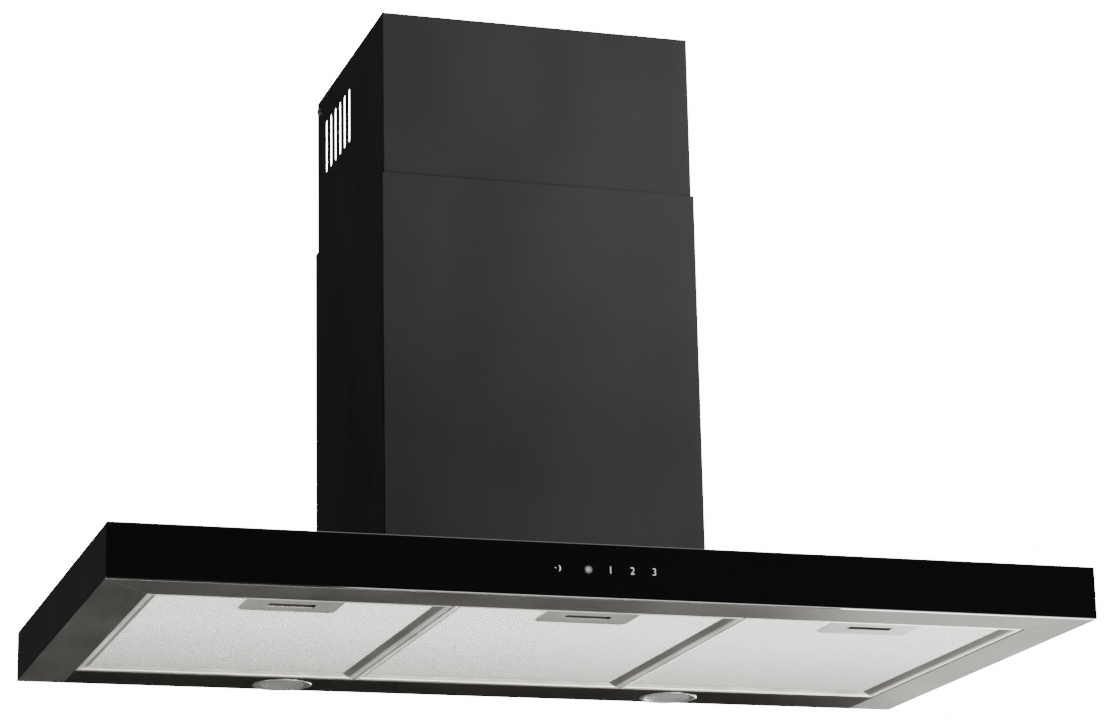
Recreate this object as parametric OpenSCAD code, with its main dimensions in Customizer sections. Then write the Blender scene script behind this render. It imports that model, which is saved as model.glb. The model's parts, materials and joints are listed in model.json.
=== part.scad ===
// Wall-mounted kitchen range hood with a flat canopy and a two-part telescopic chimney.
// The origin is on the wall, at the middle of the canopy's lower edge.
// +X is to the right as seen from the room, -Y points into the room and +Z points up.

/* [Canopy] */
// Width of the canopy
canopy_w = 900; // [720:10:1200]
// Depth of the canopy from the wall to the front of the glass
canopy_d = 490; // [400:5:600]
// Height of the canopy
canopy_h = 48; // [40:1:70]
// Thickness of the canopy's steel sheet
canopy_sheet = 1.2; // [0.8:0.1:2]
// Width of the side rims underneath
side_rim_w = 45; // [30:1:70]
// Width of the front rim underneath, with the glass edge
front_rim_w = 58; // [35:1:80]
// Depth of the lamp panel along the wall
lamp_panel_d = 64; // [60:1:90]
// Thickness of the rims, rails and the lamp panel
trim_sheet = 1; // [0.8:0.1:1.5]
// Open line between neighbouring trim pieces
joint_line = 0.4; // [0.2:0.1:1]

/* [Front glass and touch control] */
// Thickness of the front glass
glass_t = 4; // [3:0.5:8]
// Thickness of the adhesive tape behind the glass
tape_t = 0.8; // [0.5:0.1:2]
// Height of one strip of tape
tape_h = 7; // [4:0.5:10]
// Width of the touch board
touch_w = 116; // [80:1:160]
// Height of the touch board
touch_h = 20; // [14:1:24]
// Sideways place of the touch board's middle
touch_x = -15; // [-60:1:60]
// Distance between the first touch field and the second
touch_first_step = 28; // [20:1:40]
// Distance between the other touch fields
touch_step = 20; // [15:1:30]
// Diameter of a touch sensor pad
touch_pad_d = 8; // [5:0.5:12]

/* [Chimney] */
// Width of the lower chimney cover
chimney_w = 312; // [260:2:380]
// Depth of the lower chimney cover
chimney_d = 272; // [226:2:330]
// Height of the lower cover
lower_cover_h = 400; // [340:5:500]
// Height of the upper cover
upper_cover_h = 400; // [330:5:500]
// Height of the upper cover that shows above the lower one
upper_shows = 162; // [100:2:220]
// Thickness of the covers' sheet
cover_sheet = 1; // [0.8:0.1:1.5]
// Sliding gap between the two covers
cover_gap = 1; // [0.5:0.1:2]
// Width of the lips along the covers' rear edges
cover_lip = 7; // [6:1:20]

/* [Air slots] */
// Number of slots on each side
slot_count = 6; // [3:1:8]
// Width of one slot
slot_w = 8.5; // [4:0.5:12]
// Height of one slot
slot_h = 56; // [30:1:80]
// Distance between neighbouring slots
slot_pitch = 19; // [14:1:24]
// Distance from the rear edge to the first slot's middle
slot_from_rear = 38; // [30:1:60]
// Distance from the cover's top down to the slots
slot_from_top = 30; // [20:1:60]

/* [Grease filters] */
// Thickness of a filter
filter_t = 10; // [9.5:0.5:14]
// How far the filters lie above the rims' lower face
filter_recess = 0.6; // [0.4:0.1:2]
// Height of the mesh above the frame's lower face
mesh_up = 4; // [3:0.5:4.5]
// Width of the frame along a filter's sides
filter_side = 12; // [8:1:20]
// Width of the frame along a filter's front and rear
filter_end = 9; // [8:1:14]
// Thickness of the frame's folded sheet
filter_sheet = 0.8; // [0.6:0.1:1.2]
// Thickness of one mesh layer
mesh_t = 1.2; // [0.8:0.1:2]
// Gap between two filters
filter_gap = 1.5; // [1:0.1:4]
// Gap between a filter and the side rims
filter_side_gap = 1; // [0.6:0.1:3]
// Gap between a filter and the front rail
filter_front_gap = 1.5; // [1.2:0.1:3]
// Gap between a filter and the rear rail
filter_rear_gap = 1.5; // [1.4:0.1:4]
// Width of one rear hook tab
hook_w = 20; // [10:1:30]

/* [Filter latch] */
// Width of the latch plate
latch_plate_w = 86; // [60:1:110]
// Depth of the latch plate
latch_plate_d = 59; // [56:1:80]
// Distance from the filter's front to the finger slot
finger_from_front = 35; // [30:1:38]
// Width of the finger slot
finger_w = 42; // [30:1:50]
// Depth of the finger slot
finger_d = 13; // [10:1:16]
// Travel of the latch
latch_travel = 6; // [3:0.5:8]
// Width of the latch tongue
tongue_w = 24; // [14:1:34]
// Diameter of the spring's wire
spring_wire = 0.7; // [0.5:0.1:0.9]
// Number of turns of the spring
spring_turns = 6; // [4:1:8]

/* [Lamps] */
// Distance between the two lamps
lamp_spacing = 396; // [300:2:560]
// Outer diameter of a lamp's bezel
lamp_d = 58; // [50:1:58]
// Diameter of the lamp's visible lens
lens_d = 43; // [34:1:44]
// Distance from the wall to the lamps' middle
lamp_from_wall = 32; // [31:0.5:34]
// Thickness of the bezel's rim below the panel
bezel_rim_t = 1.6; // [1:0.1:3]
// Height of the lamp's body above the panel
lamp_body_h = 12; // [9:0.5:13]

/* [Blower] */
// Height of the blower box
box_h = 252; // [240:2:290]
// Thickness of the blower box's sheet
box_sheet = 1; // [0.8:0.1:1.5]
// Width of the impeller
impeller_w = 116; // [90:2:130]
// Number of impeller blades
blade_count = 32; // [20:1:44]
// How much the scroll widens from its tongue to its outlet
scroll_growth = 28; // [20:1:34]
// Wall of the scroll housing
scroll_wall = 2; // [1.5:0.1:3]
// Gap between the impeller and the scroll
impeller_gap = 6; // [4:0.5:10]
// Diameter of the motor
motor_d = 80; // [60:1:90]
// Length of the motor
motor_l = 76; // [60:1:90]
// Diameter of the motor shaft
shaft_d = 8; // [6:0.5:10]
// Running gap around the shaft
shaft_gap = 0.05; // [0.03:0.01:0.08]

/* [Duct collar] */
// Outer diameter of the duct collar
collar_d = 149; // [120:1:149]
// Height of the duct collar
collar_h = 50; // [46:1:80]
// Wall of the duct collar
collar_wall = 1.5; // [1:0.1:2.5]
// Height of the flap pin above the blower box
flap_pin_up = 20; // [16:1:24]
// Diameter of the flap pin
flap_pin_d = 4; // [3:0.5:5]
// Thickness of a non-return flap
flap_t = 1.2; // [0.8:0.1:1.6]

/* [Wall fixing] */
// Distance between the two hanging holes
hang_spacing = 200; // [120:5:220]
// Diameter of a hanging hole
hang_d = 10; // [6:0.5:14]
// Distance between the two bracket slots
bracket_spacing = 140; // [80:5:180]
// Width of a bracket slot
bracket_slot_w = 6; // [4:0.5:8]
// Length of a bracket slot
bracket_slot_l = 20; // [10:1:30]
// Height of the ceiling bracket's wall plate
bracket_h = 30; // [20:1:40]
// Distance from the chimney's top down to the wall plate
bracket_from_top = 85; // [70:1:110]
// Bore of the mains cable gland
gland_d = 8; // [6:0.5:10]

/* [Hidden] */
$fn = 64;
cut = 1;
half_w = canopy_w / 2;
front_y = -canopy_d;
glass_back = front_y + glass_t;
shell_front = glass_back + tape_t;
shell_inside = shell_front + canopy_sheet;
ceiling_z = canopy_h - canopy_sheet;

// Opening for the filters
open_x = half_w - side_rim_w;
open_front = front_y + front_rim_w;
open_rear = -lamp_panel_d;
rail_h = filter_recess + filter_t + 4;
rail_foot = 9;

// Filters
filter_w = (2 * open_x - 2 * filter_side_gap - 2 * filter_gap) / 3;
filter_pitch = filter_w + filter_gap;
filter_y0 = open_front + filter_front_gap;
filter_y1 = open_rear - filter_rear_gap;
filter_z0 = filter_recess;
filter_z1 = filter_z0 + filter_t;
hinge_y = open_rear + trim_sheet / 2;
hook_reach = 5.5;
hook_t = 1;
hook_up = 2;
hook_from_side = 45;
hook_slot_side = 2;
hook_slot_below = 0.6;
hook_slot_above = 3.8;
mesh_z = filter_z0 + mesh_up;
upper_mesh_z = filter_z1 - filter_sheet - mesh_t;

// Latch, counted from the filter's front
latch_plate_y = filter_end;
latch_plate_z = mesh_z - filter_sheet;
finger_y = finger_from_front;
finger_r = 2;
latch_room = 0.2;
room_top = upper_mesh_z - latch_room;
cup_wall = 0.8;
slider_t = 1.2;
slider_z = mesh_z + latch_room;
slider_w = finger_w + 16;
slider_front = filter_sheet + 0.7;
slider_rear = finger_y + finger_d + 4;
tongue_reach = filter_front_gap - 0.4;
spring_seat_y = latch_plate_y + latch_plate_d - filter_sheet;
seat_w = 16;
spring_d = room_top - slider_z - latch_room;
spring_z = (slider_z + room_top) / 2;
pocket_w = slider_w + 3;
pocket_d = spring_seat_y + filter_sheet + 0.4;

// Chimney
lower_top = canopy_h + lower_cover_h;
chimney_top = lower_top + upper_shows;
upper_bottom = chimney_top - upper_cover_h;
upper_w = chimney_w - 2 * cover_sheet - 2 * cover_gap;
upper_d = chimney_d - 2 * cover_sheet - 2 * cover_gap;
upper_rear = -cover_sheet - cover_gap;
upper_in_x = upper_w / 2 - cover_sheet;
cover_screw_z = chimney_top - 12;
cover_screw_y = upper_rear - 10;
cover_screw_d = 4;

// Blower box
flange_w = 12;
box_x = upper_w / 2 - cover_sheet - 18;
box_d = chimney_d - 22;
box_top = canopy_h + box_h;
box_in_top = box_top - box_sheet;
intake_x = box_x - 12;
intake_y0 = -box_d + 12;
intake_y1 = -16;

// Scroll: its spiral starts at the tongue, passes the front and the bottom, and ends at the rear
tongue_angle = 120;
spiral_sweep = 240;
scroll_clear = 2;
scroll_span = box_d - 2 * box_sheet - 2 * scroll_clear - 2 * scroll_wall;
scroll_r0 = (scroll_span - scroll_growth * (1 + (180 - tongue_angle) / spiral_sweep)) / 2;
scroll_r1 = scroll_r0 + scroll_growth;
scroll_y = -box_sheet - scroll_clear - scroll_wall - scroll_r1;
scroll_z = canopy_h + 8 + scroll_wall + scroll_r0 + scroll_growth * (270 - tongue_angle) / spiral_sweep;
scroll_in_w = impeller_w + 14;
outlet_front = scroll_y + scroll_r0 * cos(tongue_angle);
outlet_rear = scroll_y + scroll_r1;
impeller_r = scroll_r0 - impeller_gap;
blade_l = 15;
blade_t = 1;
inlet_r = impeller_r - blade_l;
ring_l = 6;
bracket_x = -scroll_in_w / 2 - scroll_wall - ring_l;
motor_x0 = bracket_x + 2;
motor_x1 = motor_x0 + motor_l;
hub_x = motor_x1 + 4;
hub_l = 16;
foot_r = 4;

// Duct collar and flaps
collar_r = collar_d / 2;
collar_in = collar_r - collar_wall;
collar_flange = 9;
collar_y = min((outlet_front + outlet_rear) / 2, -(collar_r + collar_flange + 1));
flap_z = box_top + flap_pin_up;
flap_r = collar_in - 1.3;
sleeve_r = flap_pin_d / 2 + 1.4;
flap_cut = sleeve_r + 0.8;

// Lamps
barrel_r = lamp_d / 2 - 3.4;
lamp_y = -lamp_from_wall;
panel_hole_r = barrel_r + 0.4;
lens_r = lens_d / 2 + 1;
board_z = 6;

// Electrics
board_t = 1.6;
power_w = 120;
power_d = 90;
power_h = 26;
power_wall = 2;
power_x = intake_x + 40;
power_y = -190;
driver_w = 90;
driver_d = 50;
driver_h = 22;
touch_z = canopy_h / 2 + 1;
touch_board_y = shell_inside + 1;
gland_x = box_x - 24;
gland_y = -30;

// ---- Shared shapes ----

// A block between two corners
module block(low, high) {
    translate(low) cube(high - low);
}

// A round bar along X
module bar_x(x0, x1, r) {
    translate([x0, 0, 0]) rotate([0, 90, 0]) cylinder(h = x1 - x0, r = r);
}

// A round bar along Y
module bar_y(y0, y1, r) {
    translate([0, y0, 0]) rotate([-90, 0, 0]) cylinder(h = y1 - y0, r = r);
}

// A flat plate with round corners, lying on z = 0 with its middle at the origin
module round_plate(w, d, h, r) {
    block([-w / 2 + r, -d / 2, 0], [w / 2 - r, d / 2, h]);
    block([-w / 2, -d / 2 + r, 0], [w / 2, d / 2 - r, h]);
    for (x = [-1, 1], y = [-1, 1])
        translate([x * (w / 2 - r), y * (d / 2 - r), 0]) cylinder(h = h, r = r);
}

// A pan-head screw that points down, its head resting on z = 0
module pan_screw(d, l) {
    difference() {
        rotate_extrude()
            polygon([
                [0, -l], [d / 2 - 0.4, -l], [d / 2, -l + 0.4], [d / 2, 0],
                [d * 0.95, 0], [d * 0.95, d * 0.3], [d * 0.7, d * 0.55], [0, d * 0.6]
            ]);
        for (a = [0, 90])
            rotate([0, 0, a]) block([-d * 0.5, -d * 0.1, d * 0.3], [d * 0.5, d * 0.1, d]);
    }
}

// ---- Canopy ----

// Screws that hold the blower box's flange on the canopy
function box_screw_places() = [
    for (x = [-1, 1], y = [-box_d + 20, -box_d / 2, -26]) [x * (box_x + flange_w / 2), y],
    for (x = [-1, 1]) [x * box_x / 2, -box_d - flange_w / 2]
];

module canopy_shell() {
    color("#161617")
    difference() {
        block([-half_w, shell_front, trim_sheet], [half_w, 0, canopy_h]);
        block([-half_w + canopy_sheet, shell_inside, -cut],
              [half_w - canopy_sheet, -canopy_sheet, ceiling_z]);
        block([-intake_x, intake_y0, 0], [intake_x, intake_y1, canopy_h + cut]);
        block([touch_x - touch_w / 2 + 3, shell_front - cut, touch_z - touch_h / 2 + 2],
              [touch_x + touch_w / 2 - 3, shell_inside + cut, touch_z + touch_h / 2 - 2]);
        for (p = box_screw_places())
            translate([p[0], p[1], ceiling_z - cut]) cylinder(h = canopy_h, r = 2);
    }
}

module rim_front() {
    color("#6b6a67")
    linear_extrude(trim_sheet)
        polygon([
            [-half_w, glass_back], [half_w, glass_back],
            [open_x, open_front], [-open_x, open_front]
        ]);
}

// The left rim; the right one is its mirror image
module side_rim() {
    linear_extrude(trim_sheet)
        polygon([
            [-half_w, glass_back + joint_line], [-open_x, open_front + joint_line],
            [-open_x, 0], [-half_w, 0]
        ]);
    block([-open_x - trim_sheet, open_front + joint_line, 0], [-open_x, open_rear - joint_line, rail_h]);
}

module rim_left() {
    color("#6b6a67") side_rim();
}

module rim_right() {
    color("#6b6a67") mirror([1, 0, 0]) side_rim();
}

module rear_lamp_panel() {
    color("#45443f")
    difference() {
        block([-open_x + joint_line, open_rear, 0], [open_x - joint_line, 0, trim_sheet]);
        for (x = [-1, 1])
            translate([x * lamp_spacing / 2, lamp_y, -cut]) cylinder(h = 3 * cut, r = panel_hole_r);
    }
}

module front_glass() {
    color("#050505")
    block([-half_w, front_y, 0], [half_w, glass_back, canopy_h]);
}

module glass_tape() {
    color("#3c3c3c")
    for (z = [trim_sheet + 1, canopy_h - 1 - tape_h])
        block([-half_w + 4, glass_back, z], [half_w - 4, shell_front, z + tape_h]);
}

// ---- Filter rails ----

module filter_front_rail() {
    color("#8d8c88")
    {
        block([-open_x, open_front - trim_sheet, trim_sheet], [open_x, open_front, rail_h]);
        block([-open_x, open_front - rail_foot, rail_h - trim_sheet], [open_x, open_front, rail_h]);
    }
}

// Sideways places of the two hook tabs of one filter
function hook_places(i) = [
    for (s = [-1, 1]) (i - 1) * filter_pitch + s * (filter_w / 2 - hook_from_side)
];

module filter_rear_rail() {
    color("#8d8c88")
    difference() {
        union() {
            block([-open_x, open_rear, trim_sheet], [open_x, open_rear + trim_sheet, rail_h]);
            block([-open_x, open_rear, rail_h - trim_sheet], [open_x, open_rear + rail_foot, rail_h]);
            block([-open_x + joint_line, open_rear, trim_sheet],
                  [open_x - joint_line, open_rear + 4, 2 * trim_sheet]);
        }
        for (i = [0:2], x = hook_places(i))
            block([x - hook_w / 2 - hook_slot_side, open_rear - cut, filter_z0 + hook_up - hook_slot_below],
                  [x + hook_w / 2 + hook_slot_side, open_rear + rail_foot,
                   filter_z0 + hook_up + hook_t + hook_slot_above]);
    }
}

// ---- Grease filters, numbered 0 to 2 from the left ----

// Moves its children to the front middle of filter i
module at_filter(i) {
    translate([(i - 1) * filter_pitch, filter_y0, 0]) children();
}

module filter_frame(i) {
    filter_d = filter_y1 - filter_y0;
    color("#b9b8b4")
    {
        at_filter(i)
        difference() {
            union() {
                difference() {
                    block([-filter_w / 2, 0, filter_z0], [filter_w / 2, filter_d, filter_z1]);
                    block([-filter_w / 2 + filter_sheet, filter_sheet, filter_z0 + filter_sheet],
                          [filter_w / 2 - filter_sheet, filter_d - filter_sheet, filter_z1 - filter_sheet]);
                }
                block([-filter_w / 2 + filter_side - filter_sheet, filter_end - filter_sheet, filter_z0],
                      [filter_w / 2 - filter_side + filter_sheet, filter_d - filter_end + filter_sheet, mesh_z]);
            }
            block([-filter_w / 2 + filter_side, filter_end, -cut],
                  [filter_w / 2 - filter_side, filter_d - filter_end, filter_z1 + cut]);
            block([-tongue_w / 2 - 0.5, -cut, slider_z - 0.2],
                  [tongue_w / 2 + 0.5, filter_end, slider_z + slider_t + 0.4]);
        }
        for (x = hook_places(i))
            block([x - hook_w / 2, filter_y1 - filter_sheet, filter_z0 + hook_up],
                  [x + hook_w / 2, hinge_y + hook_reach, filter_z0 + hook_up + hook_t]);
    }
}

module filter_mesh(i) {
    filter_d = filter_y1 - filter_y0;
    edge = filter_sheet;
    color("#d4d2cc")
    at_filter(i) {
        difference() {
            block([-filter_w / 2 + edge, edge, mesh_z], [filter_w / 2 - edge, filter_d - edge, mesh_z + mesh_t]);
            block([-pocket_w / 2, 0, filter_z0], [pocket_w / 2, pocket_d, filter_z1]);
        }
        block([-filter_w / 2 + edge, edge, upper_mesh_z],
              [filter_w / 2 - edge, filter_d - edge, upper_mesh_z + mesh_t]);
    }
}

module latch_plate(i) {
    color("#c4c3bf")
    at_filter(i) {
        difference() {
            translate([0, latch_plate_y + latch_plate_d / 2, latch_plate_z])
                round_plate(latch_plate_w, latch_plate_d, filter_sheet, 1.5);
            translate([0, finger_y + finger_d / 2, latch_plate_z - cut])
                round_plate(finger_w, finger_d, 3 * cut, finger_r);
        }
        block([-seat_w / 2, spring_seat_y, latch_plate_z],
              [seat_w / 2, spring_seat_y + filter_sheet, room_top]);
    }
}

// A slide with a tongue at the front, a cup for a fingertip and a seat for the spring
module latch_slider(i) {
    cup_w = finger_w + 1;
    cup_d = finger_d + 1;
    color("#9a9996")
    at_filter(i) {
        difference() {
            union() {
                block([-slider_w / 2, slider_front, slider_z],
                      [slider_w / 2, slider_rear, slider_z + slider_t]);
                block([-tongue_w / 2, -tongue_reach, slider_z],
                      [tongue_w / 2, slider_front, slider_z + slider_t]);
                translate([0, finger_y + finger_d / 2, slider_z])
                    round_plate(cup_w + 2 * cup_wall, cup_d + 2 * cup_wall, room_top - slider_z,
                                finger_r + cup_wall);
            }
            translate([0, finger_y + finger_d / 2, slider_z - cut])
                round_plate(cup_w, cup_d, room_top - slider_z + cut - cup_wall, finger_r);
        }
        block([-seat_w / 2, slider_rear - slider_t, slider_z],
              [seat_w / 2, slider_rear, room_top]);
    }
}

// A helical wire along Y, made of rings of points around the coil's centre line
module latch_spring(i) {
    sides = 6;
    steps = spring_turns * 12;
    coil_r = (spring_d - spring_wire) / 2;
    y0 = slider_rear + spring_wire / 2 + 0.1;
    y1 = spring_seat_y - spring_wire / 2 - 0.1;
    points = [
        for (s = [0:steps], k = [0:sides - 1])
            let (a = s * 360 / 12, b = k * 360 / sides, r = coil_r + spring_wire / 2 * cos(b))
            [r * cos(a), y0 + (y1 - y0) * s / steps + spring_wire / 2 * sin(b), r * sin(a)]
    ];
    faces = concat(
        [[for (k = [0:sides - 1]) k]],
        [[for (k = [sides - 1:-1:0]) steps * sides + k]],
        [
            for (s = [0:steps - 1], k = [0:sides - 1], half = [0, 1])
                let (a = s * sides + k, b = s * sides + (k + 1) % sides)
                half == 0 ? [a, a + sides, b + sides] : [a, b + sides, b]
        ]
    );
    color("#8f8f8c")
    at_filter(i) translate([0, 0, spring_z]) polyhedron(points, faces);
}

// ---- Lamps, side -1 is the left one ----

module at_lamp(side) {
    translate([side * lamp_spacing / 2, lamp_y, 0]) children();
}

module lamp_bezel(side) {
    color("#8e8d89")
    at_lamp(side)
    rotate_extrude()
        polygon([
            [lens_d / 2, -bezel_rim_t], [lamp_d / 2 - 1, -bezel_rim_t], [lamp_d / 2, -0.6],
            [lamp_d / 2, 0], [barrel_r, 0], [barrel_r, lamp_body_h], [barrel_r - 1.2, lamp_body_h],
            [barrel_r - 1.2, 1], [lens_r + 0.3, 1], [lens_r + 0.3, -0.6], [lens_d / 2, -0.6]
        ]);
}

module lamp_lens(side) {
    color("#c9c9c6")
    at_lamp(side) translate([0, 0, -0.6]) cylinder(h = 2.2, r = lens_r);
}

module led_board(side) {
    color("#e8e6dc")
    at_lamp(side) {
        translate([0, 0, board_z]) cylinder(h = board_t, r = barrel_r - 1.4);
        for (a = [0:60:300])
            rotate([0, 0, a]) block([10, -1.8, board_z - 0.8], [13.5, 1.8, board_z]);
    }
}

module lamp_spring_clips() {
    color("#b0b0ad")
    for (side = [-1, 1], s = [-1, 1])
        at_lamp(side) rotate([0, 0, s * 90 - 90]) {
            block([barrel_r + 0.1, -5, trim_sheet], [barrel_r + 0.9, 5, lamp_body_h - 1]);
            block([barrel_r + 0.1, -5, trim_sheet], [barrel_r + 12, 5, trim_sheet + 0.8]);
        }
}

// ---- Touch control ----

// Sideways places of the five touch fields
function touch_places() = [
    touch_x - (touch_first_step + 3 * touch_step) / 2,
    for (k = [0:3]) touch_x - (touch_first_step + 3 * touch_step) / 2 + touch_first_step + k * touch_step
];

module touch_board() {
    color("#1f5a33")
    block([touch_x - touch_w / 2, touch_board_y, touch_z - touch_h / 2],
          [touch_x + touch_w / 2, touch_board_y + board_t, touch_z + touch_h / 2]);
}

module touch_pads() {
    color("#d8d8d2")
    for (x = touch_places())
        translate([x, 0, touch_z]) bar_y(glass_back, touch_board_y, touch_pad_d / 2);
}

// A tray that holds the board against the shell's front wall
module touch_carrier() {
    wall = 1.5;
    room = 0.3;
    back_y = touch_board_y + board_t + 5;
    color("#e2e1dc")
    difference() {
        block([touch_x - touch_w / 2 - wall - room, shell_inside, touch_z - touch_h / 2 - wall - room],
              [touch_x + touch_w / 2 + wall + room, back_y + wall, touch_z + touch_h / 2 + wall + room]);
        block([touch_x - touch_w / 2 - room, shell_inside - cut, touch_z - touch_h / 2 - room],
              [touch_x + touch_w / 2 + room, touch_board_y + board_t, touch_z + touch_h / 2 + room]);
        block([touch_x - touch_w / 2 + 2, shell_inside, touch_z - touch_h / 2 + 2],
              [touch_x + touch_w / 2 - 2, back_y, touch_z + touch_h / 2 - 2]);
    }
}

// ---- Power electronics ----

module power_box() {
    color("#d9d8d3")
    difference() {
        block([power_x, power_y, ceiling_z - power_h],
              [power_x + power_w, power_y + power_d, ceiling_z]);
        block([power_x + power_wall, power_y + power_wall, ceiling_z - power_h - cut],
              [power_x + power_w - power_wall, power_y + power_d - power_wall, ceiling_z - power_wall]);
    }
}

module power_box_lid() {
    color("#c9c8c3")
    block([power_x, power_y, ceiling_z - power_h - power_wall],
          [power_x + power_w, power_y + power_d, ceiling_z - power_h]);
}

module led_driver() {
    color("#e6e5e0")
    difference() {
        union() {
            translate([-power_x - driver_w / 2, power_y + driver_d / 2, ceiling_z - driver_h])
                round_plate(driver_w, driver_d, driver_h, 4);
            translate([-power_x - driver_w / 2, power_y + driver_d / 2, ceiling_z - 2])
                round_plate(driver_w + 24, 20, 2, 4);
        }
        for (x = [-1, 1])
            translate([-power_x - driver_w / 2 + x * (driver_w / 2 + 6), power_y + driver_d / 2, 0])
                cylinder(h = canopy_h, r = 2);
    }
}

// ---- Blower ----

module blower_box() {
    color("#a9abab")
    difference() {
        union() {
            block([-box_x, -box_d, canopy_h], [box_x, 0, box_top]);
            block([-box_x - flange_w, -box_d - flange_w, canopy_h],
                  [box_x + flange_w, -16, canopy_h + box_sheet]);
        }
        block([-box_x + box_sheet, -box_d + box_sheet, canopy_h - cut],
              [box_x - box_sheet, -box_sheet, box_in_top]);
        translate([0, collar_y, box_in_top - cut]) cylinder(h = 3 * cut, r = collar_in);
        for (x = [-1, 1])
            translate([x * hang_spacing / 2, 0, box_top - 30]) bar_y(-2 * cut, cut, hang_d / 2);
        for (p = box_screw_places())
            translate([p[0], p[1], canopy_h - cut]) cylinder(h = 3 * cut, r = 2);
        translate([gland_x, gland_y, box_in_top - cut]) cylinder(h = 3 * cut, r = gland_d / 2 + 2);
    }
}

module blower_box_screws() {
    color("#c8c8c6")
    for (p = box_screw_places())
        translate([p[0], p[1], canopy_h + box_sheet]) pan_screw(3.9, 6);
}

// Outline of the scroll in the Y-Z plane, grown outwards by a margin
function scroll_outline(margin, top) = concat(
    [
        for (k = [0:32])
            let (
                a = tongue_angle + spiral_sweep * k / 32,
                r = scroll_r0 + scroll_growth * k / 32 + margin
            )
            [scroll_y + r * cos(a), scroll_z + r * sin(a)]
    ],
    [[outlet_rear + margin, top], [scroll_y + (scroll_r0 + margin) * cos(tongue_angle), top]]
);

// Stands a Y-Z outline up and gives it a thickness along X
module extrude_x(x0, x1) {
    translate([x0, 0, 0]) rotate([90, 0, 90]) linear_extrude(x1 - x0) children();
}

// The left half of the scroll; the right one is its mirror image
module scroll_half() {
    side_x = -scroll_in_w / 2;
    flange = 5;
    difference() {
        union() {
            extrude_x(side_x - scroll_wall, 0) polygon(scroll_outline(scroll_wall, box_in_top));
            block([side_x - scroll_wall - flange, outlet_front + 6, box_in_top - 3],
                  [0, outlet_rear, box_in_top]);
        }
        extrude_x(side_x, cut) polygon(scroll_outline(0, box_in_top + cut));
        translate([0, scroll_y, scroll_z]) bar_x(side_x - scroll_wall - cut, 0, inlet_r);
    }
}

module scroll_left() {
    color("#3b3d40") scroll_half();
}

module scroll_right() {
    color("#3b3d40") mirror([1, 0, 0]) scroll_half();
}

// A rounded inlet mouth on the left side of the scroll
module inlet_ring() {
    x_side = -scroll_in_w / 2 - scroll_wall;
    lip_r = ring_l;
    translate([x_side, scroll_y, scroll_z]) rotate([0, -90, 0])
        rotate_extrude()
            difference() {
                translate([inlet_r - 2, 0]) square([lip_r + 6, lip_r]);
                translate([inlet_r - 2, lip_r]) circle(r = 4);
            }
}

module inlet_ring_left() {
    color("#54565a") inlet_ring();
}

module inlet_ring_right() {
    color("#54565a") mirror([1, 0, 0]) inlet_ring();
}

// Three arms that hold the motor in the middle of the left inlet
module motor_bracket() {
    color("#9fa1a2")
    translate([bracket_x - 2, scroll_y, scroll_z]) rotate([0, 90, 0])
        difference() {
            union() {
                cylinder(h = 2, r = motor_d / 2 - 4);
                for (a = [30, 150, 270])
                    rotate([0, 0, a]) block([0, -8, 0], [inlet_r + 6, 8, 2]);
            }
            translate([0, 0, -cut]) cylinder(h = 4 * cut, r = shaft_d / 2 + 3);
            for (a = [30, 150, 270])
                rotate([0, 0, a]) translate([motor_d / 2 - 12, 0, -cut]) cylinder(h = 4 * cut, r = 2.2);
        }
}

module motor_can() {
    color("#7e8082")
    translate([bracket_x, scroll_y, scroll_z]) rotate([0, 90, 0])
        difference() {
            union() {
                cylinder(h = 2, r = motor_d / 2 - 4);
                translate([0, 0, 2]) cylinder(h = motor_l - 12, r = motor_d / 2);
                translate([0, 0, motor_l - 10]) cylinder(h = 10, r = 14);
            }
            translate([0, 0, 8]) cylinder(h = motor_l - 24, r = motor_d / 2 - 3);
            translate([0, 0, -cut]) cylinder(h = motor_l + 2 * cut, r = shaft_d / 2 + shaft_gap);
        }
}

// The shaft with the rotor that turns inside the motor can
module motor_shaft() {
    color("#c3c4c6")
    translate([bracket_x, scroll_y, scroll_z]) rotate([0, 90, 0]) {
        translate([0, 0, 3]) cylinder(h = hub_x + hub_l - bracket_x - 3, r = shaft_d / 2);
        translate([0, 0, 14]) cylinder(h = motor_l - 36, r = motor_d / 2 - 6);
    }
}

// A double-inlet fan wheel: a web on the shaft, blades and two end rings
module impeller() {
    half = impeller_w / 2;
    color("#2c2e30")
    translate([0, scroll_y, scroll_z])
        difference() {
            union() {
                bar_x(hub_x, hub_x + hub_l, shaft_d / 2 + 8);
                bar_x(hub_x + 4, hub_x + 7, impeller_r);
                for (x = [-half, half - 2])
                    difference() {
                        bar_x(x, x + 2, impeller_r);
                        bar_x(x - cut, x + 2 + cut, inlet_r);
                    }
                for (k = [0:blade_count - 1])
                    rotate([k * 360 / blade_count, 0, 0])
                        translate([0, 0, inlet_r + 0.6]) rotate([18, 0, 0])
                            block([-half + 1, -blade_t / 2, 0], [half - 1, blade_t / 2, blade_l - 1.6]);
            }
            bar_x(hub_x - cut, hub_x + hub_l + cut, shaft_d / 2);
        }
}

module capacitor() {
    can_r = 17;
    color("#dcdcd6")
    translate([-box_x + box_sheet + can_r, -box_d + 40, box_top - 110]) {
        cylinder(h = 58, r = can_r);
        translate([0, 0, 58]) cylinder(h = 3, r = can_r - 2);
        for (x = [-1, 1]) translate([x * 7, 0, 0]) block([-0.4, -3, 61], [0.4, 3, 72]);
    }
}

// ---- Duct collar with its non-return flaps ----

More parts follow.
